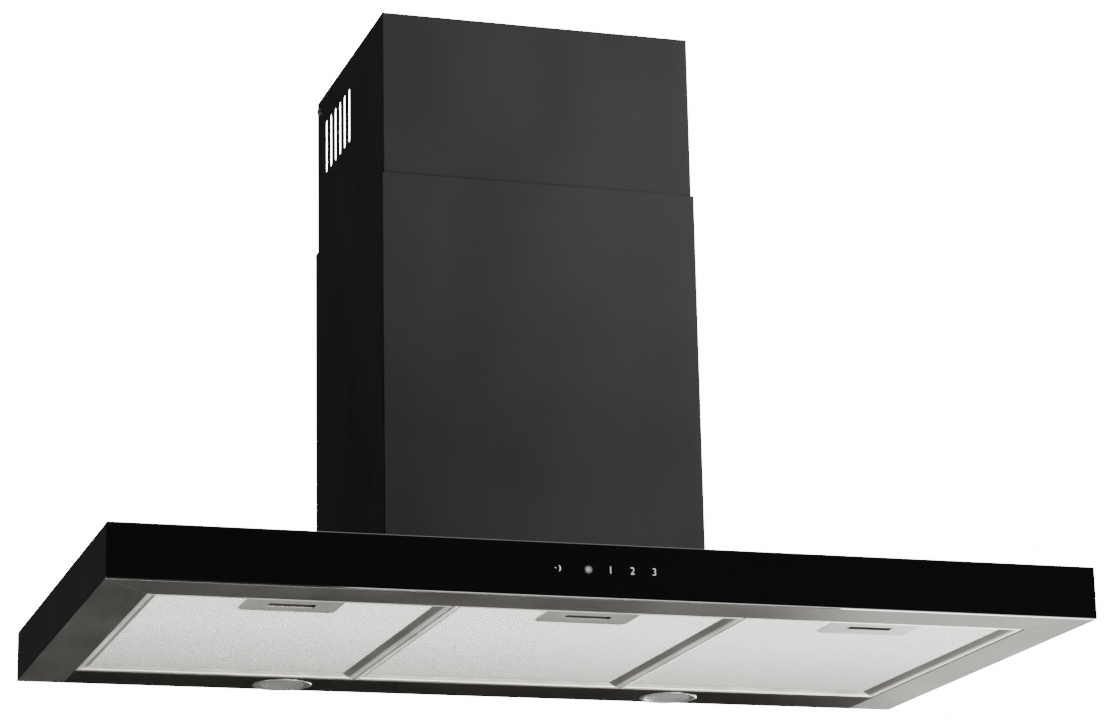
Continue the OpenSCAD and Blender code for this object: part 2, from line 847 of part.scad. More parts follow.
module outlet_collar() {
    color("#2b2c2e")
    translate([0, collar_y, box_top])
        difference() {
            union() {
                cylinder(h = 2, r = collar_r + collar_flange);
                cylinder(h = collar_h, r = collar_r);
            }
            translate([0, 0, -cut]) cylinder(h = flap_pin_up - 2, r = collar_in - 3);
            translate([0, 0, flap_pin_up - flap_t / 2 - 0.3]) cylinder(h = collar_h, r = collar_in);
            translate([0, 0, flap_pin_up]) bar_x(-collar_r - cut, collar_r + cut, flap_pin_d / 2 + 0.05);
            translate([0, 0, flap_pin_up]) bar_x(-collar_in + 3.5, collar_in - 3.5, sleeve_r + 0.6);
        }
}

module flap_pin() {
    color("#c3c4c6")
    translate([0, collar_y, flap_z]) bar_x(-collar_r + 0.2, collar_r - 0.2, flap_pin_d / 2);
}

// A half disc on two sleeves, which lies towards -Y; the other flap is turned half round
module flap() {
    sleeve_l = flap_r * 0.38;
    starts = [-flap_r + 6, 2];
    difference() {
        union() {
            intersection() {
                translate([0, 0, -flap_t / 2]) cylinder(h = flap_t, r = flap_r);
                block([-flap_r, -flap_r, -flap_t], [flap_r, -flap_cut, flap_t]);
            }
            for (x = starts) {
                bar_x(x, x + sleeve_l, sleeve_r);
                block([x, -flap_cut - cut, -flap_t / 2], [x + sleeve_l, 0, flap_t / 2]);
            }
        }
        bar_x(-flap_r, flap_r, flap_pin_d / 2 + 0.05);
    }
}

module flap_front() {
    color("#4a4c4f") translate([0, collar_y, flap_z]) flap();
}

module flap_rear() {
    color("#4a4c4f") translate([0, collar_y, flap_z]) rotate([0, 0, 180]) flap();
}

module cable_gland() {
    body_r = gland_d / 2 + 5;
    color("#303133")
    translate([gland_x, gland_y, 0])
        difference() {
            union() {
                translate([0, 0, box_top]) cylinder(h = 6, r = body_r, $fn = 6);
                translate([0, 0, box_top + 6]) cylinder(h = 9, r = gland_d / 2 + 3.2);
                translate([0, 0, box_in_top - 8]) cylinder(h = 9 + box_sheet, r = gland_d / 2 + 1.8);
                translate([0, 0, box_in_top - 5]) cylinder(h = 5, r = body_r, $fn = 6);
            }
            translate([0, 0, box_in_top - 10]) cylinder(h = 40, r = gland_d / 2);
        }
}

// ---- Chimney ----

// A folded cover: a front, two sides and two lips along the rear edge
module folded_cover(w, y0, y1, z0, z1) {
    difference() {
        block([-w / 2, y0, z0], [w / 2, y1, z1]);
        block([-w / 2 + cover_sheet, y0 + cover_sheet, z0 - cut],
              [w / 2 - cover_sheet, y1 - cover_sheet, z1 + cut]);
        block([-w / 2 + cover_sheet + cover_lip, y0 + cover_sheet, z0 - cut],
              [w / 2 - cover_sheet - cover_lip, y1 + cut, z1 + cut]);
    }
}

module chimney_lower() {
    color("#303030") folded_cover(chimney_w, -chimney_d, 0, canopy_h, lower_top);
}

// Angles on the canopy's top that keep the lower cover in place
module cover_feet() {
    color("#a9abab")
    for (x = [-1, 1], y = [-chimney_d + 40, -60])
        scale([x, 1, 1]) {
            block([chimney_w / 2 - cover_sheet - 1, y - 15, canopy_h],
                  [chimney_w / 2 - cover_sheet, y + 15, canopy_h + 9]);
        }
}

module chimney_upper() {
    slot_z1 = chimney_top - slot_from_top;
    slot_r = slot_w / 2;
    color("#3a3a3a")
    difference() {
        folded_cover(upper_w, upper_rear - upper_d, upper_rear, upper_bottom, chimney_top);
        for (k = [0:slot_count - 1])
            translate([0, upper_rear - slot_from_rear - k * slot_pitch, 0]) {
                block([-upper_w, -slot_r, slot_z1 - slot_h + slot_r], [upper_w, slot_r, slot_z1 - slot_r]);
                for (z = [slot_z1 - slot_r, slot_z1 - slot_h + slot_r])
                    translate([0, 0, z]) bar_x(-upper_w, upper_w, slot_r);
            }
        translate([0, cover_screw_y, cover_screw_z]) bar_x(-upper_w, upper_w, cover_screw_d / 2);
    }
}

// A wall bracket whose ends fold forwards around the upper cover's rear lips, and rise to the screws
module ceiling_bracket() {
    t = 1.5;
    plate_x = upper_in_x - cover_lip - 2;
    z1 = chimney_top - bracket_from_top;
    z0 = z1 - bracket_h;
    ear_top = cover_screw_z + 10;
    arm_y = cover_screw_y - 9;
    color("#a9abab")
    difference() {
        union() {
            block([-plate_x, -t, z0], [plate_x, 0, z1]);
            for (x = [-1, 1]) scale([x, 1, 1]) {
                block([plate_x - t, arm_y, z0], [plate_x, 0, z1]);
                block([plate_x - t, arm_y, z0], [upper_in_x, arm_y + t, z1]);
                block([upper_in_x - t, arm_y, z0], [upper_in_x, upper_rear - cover_sheet - 1, ear_top]);
            }
        }
        translate([0, cover_screw_y, cover_screw_z]) bar_x(-upper_w, upper_w, cover_screw_d / 2);
        for (x = [-1, 1])
            translate([x * bracket_spacing / 2, 0, (z0 + z1) / 2]) {
                block([-(bracket_slot_l - bracket_slot_w) / 2, -2 * t, -bracket_slot_w / 2],
                      [(bracket_slot_l - bracket_slot_w) / 2, cut, bracket_slot_w / 2]);
                for (s = [-1, 1])
                    translate([s * (bracket_slot_l - bracket_slot_w) / 2, 0, 0])
                        bar_y(-2 * t, cut, bracket_slot_w / 2);
            }
    }
}

module upper_cover_screws() {
    color("#c8c8c6")
    for (x = [-1, 1])
        translate([x * upper_w / 2, cover_screw_y, cover_screw_z]) rotate([0, x * 90, 0])
            pan_screw(cover_screw_d, 7);
}

canopy_shell();
rim_front();
rim_left();
rim_right();
rear_lamp_panel();
front_glass();
glass_tape();
filter_front_rail();
filter_rear_rail();
lamp_bezel(-1);  // left_lamp_bezel
lamp_bezel(1);  // right_lamp_bezel
lamp_lens(-1);  // left_lamp_lens
lamp_lens(1);  // right_lamp_lens
led_board(-1);  // left_led_board
led_board(1);  // right_led_board
lamp_spring_clips();
touch_board();
touch_pads();
touch_carrier();
power_box();
power_box_lid();
led_driver();
blower_box();
scroll_left();
scroll_right();
inlet_ring_left();
inlet_ring_right();
motor_bracket();
motor_can();
capacitor();
outlet_collar();
flap_pin();
cable_gland();
chimney_lower();
cover_feet();
blower_box_screws();
impeller();
motor_shaft();
flap_front();
flap_rear();
chimney_upper();
ceiling_bracket();
upper_cover_screws();
filter_frame(0);  // left_filter_frame
filter_mesh(0);  // left_filter_mesh
latch_plate(0);  // left_latch_plate
latch_slider(0);  // left_latch_slider
latch_spring(0);  // left_latch_spring
filter_frame(1);  // middle_filter_frame
filter_mesh(1);  // middle_filter_mesh
latch_plate(1);  // middle_latch_plate
latch_slider(1);  // middle_latch_slider
latch_spring(1);  // middle_latch_spring
filter_frame(2);  // right_filter_frame
filter_mesh(2);  // right_filter_mesh
latch_plate(2);  // right_latch_plate
latch_slider(2);  // right_latch_slider
latch_spring(2);  // right_latch_spring
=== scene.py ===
# Looks of a wall-mounted kitchen range hood: a flat black canopy with a glass front, three
# aluminium grease filters and two lamps underneath, and a telescopic chimney above.
# The hood hangs on the wall plane y = 0, and its front faces -Y.
import json
import math

import bmesh
import bpy
from mathutils import Matrix, Vector


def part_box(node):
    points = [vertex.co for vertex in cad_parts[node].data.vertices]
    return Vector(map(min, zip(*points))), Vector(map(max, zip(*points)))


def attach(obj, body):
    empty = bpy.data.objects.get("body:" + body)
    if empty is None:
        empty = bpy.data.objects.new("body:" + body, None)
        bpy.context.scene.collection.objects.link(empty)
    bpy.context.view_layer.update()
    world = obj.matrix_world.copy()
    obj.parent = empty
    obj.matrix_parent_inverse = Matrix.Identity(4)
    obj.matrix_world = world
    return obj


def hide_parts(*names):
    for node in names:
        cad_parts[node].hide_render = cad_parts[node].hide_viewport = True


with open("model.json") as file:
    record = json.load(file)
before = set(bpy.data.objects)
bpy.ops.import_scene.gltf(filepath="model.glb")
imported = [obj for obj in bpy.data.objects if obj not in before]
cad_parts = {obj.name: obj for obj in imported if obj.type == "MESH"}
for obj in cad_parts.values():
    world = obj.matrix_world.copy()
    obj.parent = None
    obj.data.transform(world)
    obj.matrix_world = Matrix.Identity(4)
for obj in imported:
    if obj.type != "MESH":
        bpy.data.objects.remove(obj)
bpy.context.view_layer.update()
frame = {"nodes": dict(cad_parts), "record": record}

# ---- Camera ----
# It stands in front of the hood, a little to the left and below the canopy, and looks up at it,
# so that the underside with its filters and lamps shows.
camera_place = Vector((-0.9228, -3.2385, -0.5877))
camera_pitch = math.radians(15.492)
camera_turn = math.radians(17.425)
camera_roll = math.radians(-1.2)

camera = bpy.data.objects.new("camera", bpy.data.cameras.new("camera"))
bpy.context.scene.collection.objects.link(camera)
camera.data.lens = 111.44
aim = Matrix.Rotation(-camera_turn, 4, "Z") @ Matrix.Rotation(math.pi / 2 + camera_pitch, 4, "X")
camera.matrix_world = Matrix.Translation(camera_place) @ aim @ Matrix.Rotation(camera_roll, 4, "Z")
bpy.context.scene.camera = camera

# ---- Studio ----
# A white surround, a pale matte floor far below the hood, and large soft lamps. One lamp lights
# the underside from below, and a weaker one behind on the right makes the rims lighter there.


def srgb(code):
    """Turns an sRGB hex colour into a linear one."""
    parts = [int(code[i:i + 2], 16) / 255 for i in (1, 3, 5)]
    return (*[c / 12.92 if c <= 0.04045 else ((c + 0.055) / 1.055) ** 2.4 for c in parts], 1.0)


def in_use(sockets, name):
    """The socket of that name or identifier that the node's settings leave in use."""
    return next(s for s in sockets if s.enabled and name in (s.name, s.identifier))


def fill_in(tree, node, inputs):
    """Sets a node's inputs to values, or links them to outputs."""
    for name, value in inputs.items():
        if isinstance(value, bpy.types.NodeSocket):
            tree.links.new(value, in_use(node.inputs, name))
        else:
            in_use(node.inputs, name).default_value = value
    return node


def add(tree, kind, inputs, **settings):
    """Adds a node with its settings and its inputs, and gives back its first output in use."""
    made = tree.nodes.new(kind)
    for name, value in settings.items():
        setattr(made, name, value)
    fill_in(tree, made, inputs)
    return next(s for s in made.outputs if s.enabled)


def soft_lamp(name, place, target, width, height, watts):
    """Adds a rectangular lamp at a place, turned to a target."""
    data = bpy.data.lights.new(name, "AREA")
    data.shape = "RECTANGLE"
    data.size = width
    data.size_y = height
    data.energy = watts
    lamp = bpy.data.objects.new(name, data)
    bpy.context.scene.collection.objects.link(lamp)
    turn = (Vector(target) - Vector(place)).to_track_quat("-Z", "Y").to_matrix().to_4x4()
    lamp.matrix_world = Matrix.Translation(Vector(place)) @ turn
    lamp.visible_camera = False


world = bpy.data.worlds.new("studio")
bpy.context.scene.world = world
world.use_nodes = True
sky = world.node_tree
light_path = sky.nodes.new("ShaderNodeLightPath")
fill = add(sky, "ShaderNodeBackground", {"Color": srgb("#ffffff"), "Strength": 0.06})
white = add(sky, "ShaderNodeBackground", {"Color": srgb("#ffffff"), "Strength": 16.0})
seen = add(sky, "ShaderNodeMixShader", {
    "Fac": light_path.outputs["Is Camera Ray"], "Shader": fill, "Shader_001": white})
fill_in(sky, sky.nodes["World Output"], {"Surface": seen})

soft_lamp("key_lamp", (2.7, -2.4, 1.2), (0, -0.2, 0.3), 1.6, 2.2, 110)
soft_lamp("lower_lamp", (0.3, -1.0, -1.0), (0, -0.3, 0), 1.6, 0.8, 56)
soft_lamp("rear_lamp", (1.6, 1.7, -0.7), (0, -0.25, 0), 1.0, 0.8, 31)
soft_lamp("side_lamp", (-1.4, -0.3, -1.4), (-0.3, -0.25, 0), 0.8, 0.8, 8)
soft_lamp("top_lamp", (0.4, -0.4, 3.0), (0, -0.2, 0), 2.4, 2.4, 40)
soft_lamp("back_lamp", (1.9, 2.8, 2.4), (0, 0, 0.2), 1.8, 1.8, 26)

floor_size = 14
floor_height = -1.6
bpy.ops.mesh.primitive_plane_add(size=floor_size, location=(0, 0, floor_height))
floor = bpy.context.object
floor.name = "floor"


def new_finish(name, inputs):
    """Starts a material, with the even values of its surface on its own sockets."""
    finish = bpy.data.materials.new(name)
    finish.use_nodes = True
    tree = finish.node_tree
    return finish, tree, fill_in(tree, tree.nodes["Principled BSDF"], inputs)


def steps(tree, x, y, z):
    """Object coordinates counted in pattern steps of x, y and z millimetres."""
    place = tree.nodes.new("ShaderNodeTexCoord").outputs["Object"]
    return add(tree, "ShaderNodeMapping", {"Vector": place, "Scale": (1000 / x, 1000 / y, 1000 / z)})


# Matte floor paint: even and pale, with a faint cloudiness. It is bright to the camera alone, so it
# throws no light on the hood, and it can't be seen from below.
floor_paint, tree, surface = new_finish("matte_floor_paint", {"Roughness": 0.9})
cloud = add(tree, "ShaderNodeTexNoise", {"Vector": steps(tree, 600, 600, 600), "Scale": 1.0})
tint = add(tree, "ShaderNodeMix", {"Factor": cloud, "A": srgb("#efeeeb"), "B": srgb("#f6f5f3")}, data_type="RGBA")
glow = add(tree, "ShaderNodeMapRange", {
    "Value": tree.nodes.new("ShaderNodeLightPath").outputs["Is Camera Ray"], "To Max": 2.2})
fill_in(tree, surface, {"Base Color": tint, "Emission Color": tint, "Emission Strength": glow})
back = tree.nodes.new("ShaderNodeNewGeometry").outputs["Backfacing"]
clear = add(tree, "ShaderNodeBsdfTransparent", {})
one_way = add(tree, "ShaderNodeMixShader", {"Fac": back, "Shader": surface.outputs[0], "Shader_001": clear})
fill_in(tree, tree.nodes["Material Output"], {"Surface": one_way})
floor.data.materials.append(floor_paint)

# ---- Canopy shell ----
# A flat box of 1.2 mm steel sheet, open below, folded at its edges and welded at its corners. It is
# powder coated in satin black, and the glass, the rims and the blower are fixed to it.


def edit(piece):
    """Opens one piece in edit mode with nothing selected."""
    bpy.ops.object.select_all(action="DESELECT")
    bpy.context.view_layer.objects.active = piece
    piece.select_set(True)
    bpy.ops.object.mode_set(mode="EDIT")
    bpy.ops.mesh.select_all(action="DESELECT")


def pick(piece, kind, test):
    """Selects the faces or edges of the edited piece that pass a test of them and their middle."""
    bpy.ops.mesh.select_mode(type=kind)
    bpy.ops.mesh.select_all(action="DESELECT")
    shape = bmesh.from_edit_mesh(piece.data)
    for part in shape.faces if kind == "FACE" else shape.edges:
        middle = sum((v.co for v in part.verts), Vector()) / len(part.verts)
        part.select_set(test(part, middle))
    bmesh.update_edit_mesh(piece.data)


def heading(edge):
    """The direction of an edge, with its parts positive."""
    way = (edge.verts[1].co - edge.verts[0].co).normalized()
    return Vector((abs(way.x), abs(way.y), abs(way.z)))


def close_edit():
    bpy.ops.object.mode_set(mode="OBJECT")


def merged_copy(node, name):
    """Copies a CAD node's shape into a new piece and merges its loose triangles into flat faces."""
    piece = bpy.data.objects.new(name, frame["nodes"][node].data.copy())
    bpy.context.scene.collection.objects.link(piece)
    edit(piece)
    bpy.ops.mesh.customdata_custom_splitnormals_clear()
    bpy.ops.mesh.select_all(action="SELECT")
    bpy.ops.mesh.remove_doubles(threshold=1e-5)
    bpy.ops.mesh.dissolve_limited(angle_limit=math.radians(0.5))
    close_edit()
    return piece


def round_edges(piece, radius, segments=2):
    """Rounds every sharp edge of a piece with a bevel modifier, and applies it."""
    bevel = piece.modifiers.new("edges", "BEVEL")
    bevel.width = radius
    bevel.segments = segments
    bevel.limit_method = "ANGLE"
    bevel.angle_limit = math.radians(35)
    bpy.context.view_layer.objects.active = piece
    bpy.ops.object.modifier_apply(modifier=bevel.name)


def fix(piece, finish, body, slot, *stands_for):
    """Gives a finished piece its material, smooth edges and flat faces, and fixes it on a body."""
    piece.data.materials.clear()
    piece.data.materials.append(finish)
    bpy.ops.object.select_all(action="DESELECT")
    piece.select_set(True)
    bpy.context.view_layer.objects.active = piece
    bpy.ops.object.shade_smooth_by_angle(angle=math.radians(32))
    flat = piece.modifiers.new("flat_faces", "WEIGHTED_NORMAL")
    flat.keep_sharp = True
    bpy.ops.object.modifier_apply(modifier=flat.name)
    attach(piece, body)
    if stands_for:
        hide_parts(*stands_for)


def dress(finish, *nodes):
    """Gives CAD nodes, whose shape is right as it is, their material."""
    for node in nodes:
        for slot in frame["nodes"][node].material_slots:
            slot.material = finish


# Powder-coated steel: a satin black skin with a fine orange-peel texture that breaks up highlights.
# The real grain is about 0.3 mm and is drawn at 0.9 mm so that it shows.
powder_coat, tree, surface = new_finish("black_powder_coated_steel", {
    "Base Color": srgb("#262627"), "Roughness": 0.45, "IOR": 1.5})
peel = add(tree, "ShaderNodeTexNoise", {"Vector": steps(tree, 0.9, 0.9, 0.9), "Scale": 1.0, "Detail": 2.0})
handling = add(tree, "ShaderNodeTexNoise", {"Vector": steps(tree, 90, 90, 140), "Scale": 1.0})
sheen = add(tree, "ShaderNodeMapRange", {
    "Value": handling, "From Min": 0.3, "From Max": 0.7, "To Min": 0.4, "To Max": 0.5})
bump = add(tree, "ShaderNodeBump", {"Height": peel, "Strength": 0.25, "Distance": 0.00012})
fill_in(tree, surface, {"Roughness": sheen, "Normal": bump})

canopy_low, canopy_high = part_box("canopy_shell")
fold_radius = 0.0012
canopy = merged_copy("canopy_shell", "canopy_folded_shell")
edit(canopy)
pick(canopy, "EDGE", lambda e, m: len(e.link_faces) == 2 and (
    m.z > canopy_high.z - 1e-5 and (abs(m.x) > canopy_high.x - 1e-5 or m.y > canopy_high.y - 1e-5)
    or heading(e).z > 0.99 and abs(m.x) > canopy_high.x - 1e-5 and m.y > canopy_high.y - 1e-5))
bpy.ops.mesh.bevel(offset=fold_radius, segments=3, affect="EDGES")
close_edit()
round_edges(canopy, 0.0003)
fix(canopy, powder_coat, "hood_body", "black_coated_steel", "canopy_shell")

# ---- Front glass and touch marks ----
# A strip of 4 mm tempered glass, painted black on its back, with ground and polished edges. It is
# taped to the shell. The marks of the touch fields are printed on it in light grey.

# Black glass: an even, deep black under a mirror-smooth face, so only its reflections show.
black_glass, tree, surface = new_finish("black_painted_glass", {
    "Base Color": srgb("#050505"), "Roughness": 0.03, "IOR": 1.52})
wipe = add(tree, "ShaderNodeTexNoise", {"Vector": steps(tree, 160, 60, 60), "Scale": 1.0, "Detail": 4.0})
fill_in(tree, surface, {"Roughness": add(tree, "ShaderNodeMapRange", {
    "Value": wipe, "From Min": 0.35, "From Max": 0.75, "To Min": 0.02, "To Max": 0.06})})

print_depth = 0.0001
ground_edge = 0.0007
glass_low, glass_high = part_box("front_glass")


def add_box(name, low, high):
    """Adds a block between two corners, to be shaped further."""
    bpy.ops.object.select_all(action="DESELECT")
    low, high = Vector(low), Vector(high)
    bpy.ops.mesh.primitive_cube_add(size=1, location=(low + high) / 2, scale=high - low)
    bpy.ops.object.transform_apply(location=True, rotation=True, scale=True)
    bpy.context.object.name = name
    return bpy.context.object


glass = add_box("glass_panel", glass_low + Vector((0, print_depth, 0)), glass_high)
edit(glass)
pick(glass, "EDGE", lambda e, m: True)
bpy.ops.mesh.bevel(offset=ground_edge, segments=1, affect="EDGES")
close_edit()
fix(glass, black_glass, "hood_body", "black_glass", "front_glass")

# Screen print: a thin, even layer of light grey ink with a matt face.
ink, tree, surface = new_finish("light_grey_screen_print", {"Roughness": 0.6})
spread = add(tree, "ShaderNodeTexNoise", {"Vector": steps(tree, 0.5, 0.5, 0.5), "Scale": 1.0})
fill_in(tree, surface, {"Base Color": add(tree, "ShaderNodeMix", {
    "Factor": spread, "A": srgb("#c2c2bf"), "B": srgb("#d8d8d5")}, data_type="RGBA")})

mark_height = 0.0066
mark_z = sum((corner.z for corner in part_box("touch_board")), 0.0) / 2
pads_low, pads_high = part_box("touch_pads")
pad_radius = (pads_high.z - pads_low.z) / 2
field_first = pads_low.x + pad_radius
field_last = pads_high.x - pad_radius
field_step = 0.020
field_places = [field_first] + [field_last - k * field_step for k in (3, 2, 1, 0)]
marks = []


def stand_up(mark, x):
    """Turns a flat mark upright, puts it on a touch field and fixes its place in its mesh."""
    bpy.ops.object.select_all(action="DESELECT")
    mark.select_set(True)
    bpy.context.view_layer.objects.active = mark
    mark.data.transform(Matrix.Translation((x, glass_low.y + print_depth, mark_z)) @ Matrix.Rotation(math.pi / 2, 4, "X"))
    marks.append(mark)


def add_outline(radius, keep_from_x, ratio, centre_x):
    """Adds a flat band inside a circle: the circle right of a line, and its copy drawn inwards."""
    bpy.ops.object.select_all(action="DESELECT")
    bpy.ops.mesh.primitive_circle_add(vertices=48, radius=radius, location=(0, 0, 0))
    band = bpy.context.object
    edit(band)
    pick(band, "EDGE", lambda e, m: m.x < keep_from_x)
    bpy.ops.mesh.delete(type="VERT")
    bpy.ops.mesh.select_all(action="SELECT")
    bpy.ops.mesh.extrude_edges_move()
    bpy.ops.transform.resize(value=ratio, center_override=(centre_x, 0, 0))
    bpy.ops.mesh.select_all(action="SELECT")
    bpy.ops.mesh.extrude_region_move(TRANSFORM_OT_translate={"value": (0, 0, print_depth)})
    bpy.ops.mesh.select_all(action="SELECT")
    bpy.ops.mesh.normals_make_consistent(inside=False)
    close_edit()
    return band


for digit, x in zip("123", field_places[2:]):
    bpy.ops.object.text_add(location=(0, 0, 0))
    text = bpy.context.object
    text.data.body = digit
    text.data.size = mark_height / 0.7
    text.data.offset = -0.00015
    text.data.extrude = print_depth / 2
    text.data.align_x = "CENTER"
    text.data.align_y = "CENTER"
    bpy.ops.object.convert(target="MESH")
    stand_up(bpy.context.object, x)

sun_radius = 0.0013
sun_ring = add_outline(sun_radius, -sun_radius, (0.6, 0.6, 1), 0)
stand_up(sun_ring, field_places[1])
for ray in range(8):
    spoke = add_box("ray", (0.0020, -0.00015, 0), (0.0035, 0.00015, print_depth))
    spoke.data.transform(Matrix.Rotation(ray * math.pi / 4, 4, "Z"))
    stand_up(spoke, field_places[1])

moon_radius = 0.0030
moon_tip = 0.0008
moon = add_outline(moon_radius, moon_tip, (0.5, 1, 1), moon_tip)
stand_up(moon, field_places[0])
dash = add_box("dash", (-0.0026, 0.0002, 0), (-0.0014, 0.0008, print_depth))
stand_up(dash, field_places[0])

bpy.ops.object.select_all(action="DESELECT")
for mark in marks:
    mark.select_set(True)
bpy.context.view_layer.objects.active = marks[0]
bpy.ops.object.join()
marks[0].name = "touch_marks"
marks[0].data.materials.clear()
marks[0].data.materials.append(ink)
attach(marks[0], "hood_body")

# ---- Rims and lamp panel ----
# Strips of satin stainless steel around the filter opening, mitred at the front corners, and a
# panel along the wall for the lamps, whose darker colour is partly painted shade. Their lower
# edges are broken to a small round.

# Satin stainless steel: grey, rolled and brushed along each strip, which draws its highlights out
# across the brushing. The real lines are under 0.1 mm apart and are drawn at 0.5 mm.


def satin_steel(name, colour, roughness, along_x):
    """A brushed steel finish whose lines run along X or along Y."""
    finish, tree, surface = new_finish(name, {
        "Base Color": srgb(colour), "Metallic": 1.0, "Roughness": roughness,
        "Specular Tint": srgb("#8c8c8c")})
    lines = steps(tree, 60, 0.5, 0.5) if along_x else steps(tree, 0.5, 60, 0.5)
    brushing = add(tree, "ShaderNodeTexNoise", {"Vector": lines, "Scale": 1.0, "Detail": 3.0})
    cloud = add(tree, "ShaderNodeTexNoise", {"Vector": steps(tree, 120, 120, 120), "Scale": 1.0})
    streaks = add(tree, "ShaderNodeMath", {"Value": brushing, "Value_001": cloud}, operation="ADD")
    rough = add(tree, "ShaderNodeMapRange", {
        "Value": streaks, "From Min": 0.7, "From Max": 1.3, "To Min": roughness - 0.05, "To Max": roughness + 0.06})
    bump = add(tree, "ShaderNodeBump", {"Height": brushing, "Strength": 0.12, "Distance": 0.00005})
    fill_in(tree, surface, {"Roughness": rough, "Normal": bump})
    return finish


rim_steel_along_x = satin_steel("satin_steel_front_rim", "#8d8b87", 0.36, True)
rim_steel_along_y = satin_steel("satin_steel_side_rims", "#8d8b87", 0.36, False)
# The lamp panel's steel is painted darker than the rims' steel, partly as painted shade.
panel_steel_partly_painted_shade = satin_steel("dark_satin_steel_lamp_panel_partly_painted_shade", "#4f4d4a", 0.4, True)

rim_edge = 0.0004
for node, finish, slot in (
        ("rim_front", rim_steel_along_x, "satin_steel"),
        ("rim_left", rim_steel_along_y, "satin_steel"),
        ("rim_right", rim_steel_along_y, "satin_steel"),
        ("rear_lamp_panel", panel_steel_partly_painted_shade, "lamp_panel_steel")):
    strip = merged_copy(node, node + "_strip")
    round_edges(strip, rim_edge)
    fix(strip, finish, "hood_body", slot, node)

# ---- Filter rails ----
# Folded strips of thin satin steel above the rims' inner edges: the front one stops the latch
# tongues, and the rear one has the slots for the filters' hooks.
rail_steel = satin_steel("satin_steel_rails", "#9b9a96", 0.35, True)
for node in ("filter_front_rail", "filter_rear_rail"):
    rail = merged_copy(node, node + "_fold")
    round_edges(rail, 0.0003)
    fix(rail, rail_steel, "hood_body", "rail_steel", node)

# ---- Grease filter frames ----
# Each filter's frame is a folded strip of aluminium with mitred corners. Its flat lower flange
# turns up in a slope to the mesh, and two hook tabs at the rear hold it on the rail.

sides = ("left", "middle", "right")
filter_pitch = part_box("middle_filter_mesh")[0].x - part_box("left_filter_mesh")[0].x
frame_sheet = 0.0008
flange_side = 0.0035
flange_end = 0.006
lip_side = 0.012
lip_end = 0.009
sheets_low, sheets_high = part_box("left_filter_mesh")
frame_low = Vector((sheets_low.x - frame_sheet, sheets_low.y - frame_sheet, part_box("left_filter_frame")[0].z))
frame_high = Vector((sheets_high.x + frame_sheet, sheets_high.y + frame_sheet, sheets_high.z + frame_sheet))
hook_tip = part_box("left_filter_frame")[1].y
hook_half = 0.010
hook_from_side = 0.045
hook_low = frame_low.z + 0.002
hook_sheet = 0.001
filter_middle = (frame_low + frame_high) / 2

# Satin aluminium: pale, softly brushed along the strips, with a faint cloudiness from rolling. The
# flange is painted bright as a painted highlight, and the slope above it is painted dark as painted
# shade. The brushing is drawn at 0.6 mm, coarser than the real one, so that it shows.
frame_aluminium, tree, surface = new_finish("satin_aluminium_strip", {
    "Metallic": 1.0})
along = add(tree, "ShaderNodeTexNoise", {"Vector": steps(tree, 0.6, 45, 0.6), "Scale": 1.0, "Detail": 3.0})
worn = add(tree, "ShaderNodeTexNoise", {"Vector": steps(tree, 35, 80, 35), "Scale": 1.0, "Detail": 2.0})
place = tree.nodes.new("ShaderNodeSeparateXYZ")
fill_in(tree, place, {"Vector": tree.nodes.new("ShaderNodeTexCoord").outputs["Object"]})
# Painted light: the flange is painted bright as a highlight, and the slope above it dark as shade.
slope_shade_mask = add(tree, "ShaderNodeMapRange", {
    "Value": place.outputs["Z"], "From Min": frame_low.z + 0.0004, "From Max": frame_low.z + 0.0012})
painted_lit_flange = add(tree, "ShaderNodeMix", {
    "Factor": along, "A": srgb("#d2d0cb"), "B": srgb("#e9e7e2")}, data_type="RGBA")
painted_shaded_slope = add(tree, "ShaderNodeMix", {
    "Factor": along, "A": srgb("#6f6d69"), "B": srgb("#84827d")}, data_type="RGBA")
fill_in(tree, surface, {
    "Roughness": add(tree, "ShaderNodeMapRange", {
        "Value": worn, "From Min": 0.3, "From Max": 0.7, "To Min": 0.42, "To Max": 0.56}),
    "Base Color": add(tree, "ShaderNodeMix", {"Factor": slope_shade_mask, "A": painted_lit_flange, "B": painted_shaded_slope}, data_type="RGBA"),
    "Normal": add(tree, "ShaderNodeBump", {"Height": along, "Strength": 0.15, "Distance": 0.00006})})


def draw_in(piece, side, end, up):
    """Extrudes the selected flat face, draws it in by its sides and ends, and moves it up."""
    shape = bmesh.from_edit_mesh(piece.data)
    corners = [v.co for v in shape.verts if v.select]
    width = max(c.x for c in corners) - min(c.x for c in corners)
    depth = max(c.y for c in corners) - min(c.y for c in corners)
    middle = sum(corners, Vector()) / len(corners)
    bpy.ops.mesh.extrude_region_move(TRANSFORM_OT_translate={"value": (0, 0, 0)})
    ratio = (1 - 2 * side / width, 1 - 2 * end / depth, 1)
    bpy.ops.transform.resize(value=ratio, center_override=middle)
    bpy.ops.transform.translate(value=(0, 0, up))


bars = add_box("left_frame_strips", frame_low, frame_high)
edit(bars)
pick(bars, "FACE", lambda f, m: f.normal.z < -0.9)
draw_in(bars, flange_side, flange_end, 0)
draw_in(bars, lip_side - flange_side, lip_end - flange_end, sheets_low.z - frame_low.z)
pick(bars, "FACE", lambda f, m: f.normal.z > 0.9)
draw_in(bars, lip_side, lip_end, 0)
pick(bars, "FACE", lambda f, m: abs(f.normal.z) > 0.9 and (m - filter_middle).xy.length < 0.001)
bpy.ops.mesh.bridge_edge_loops()
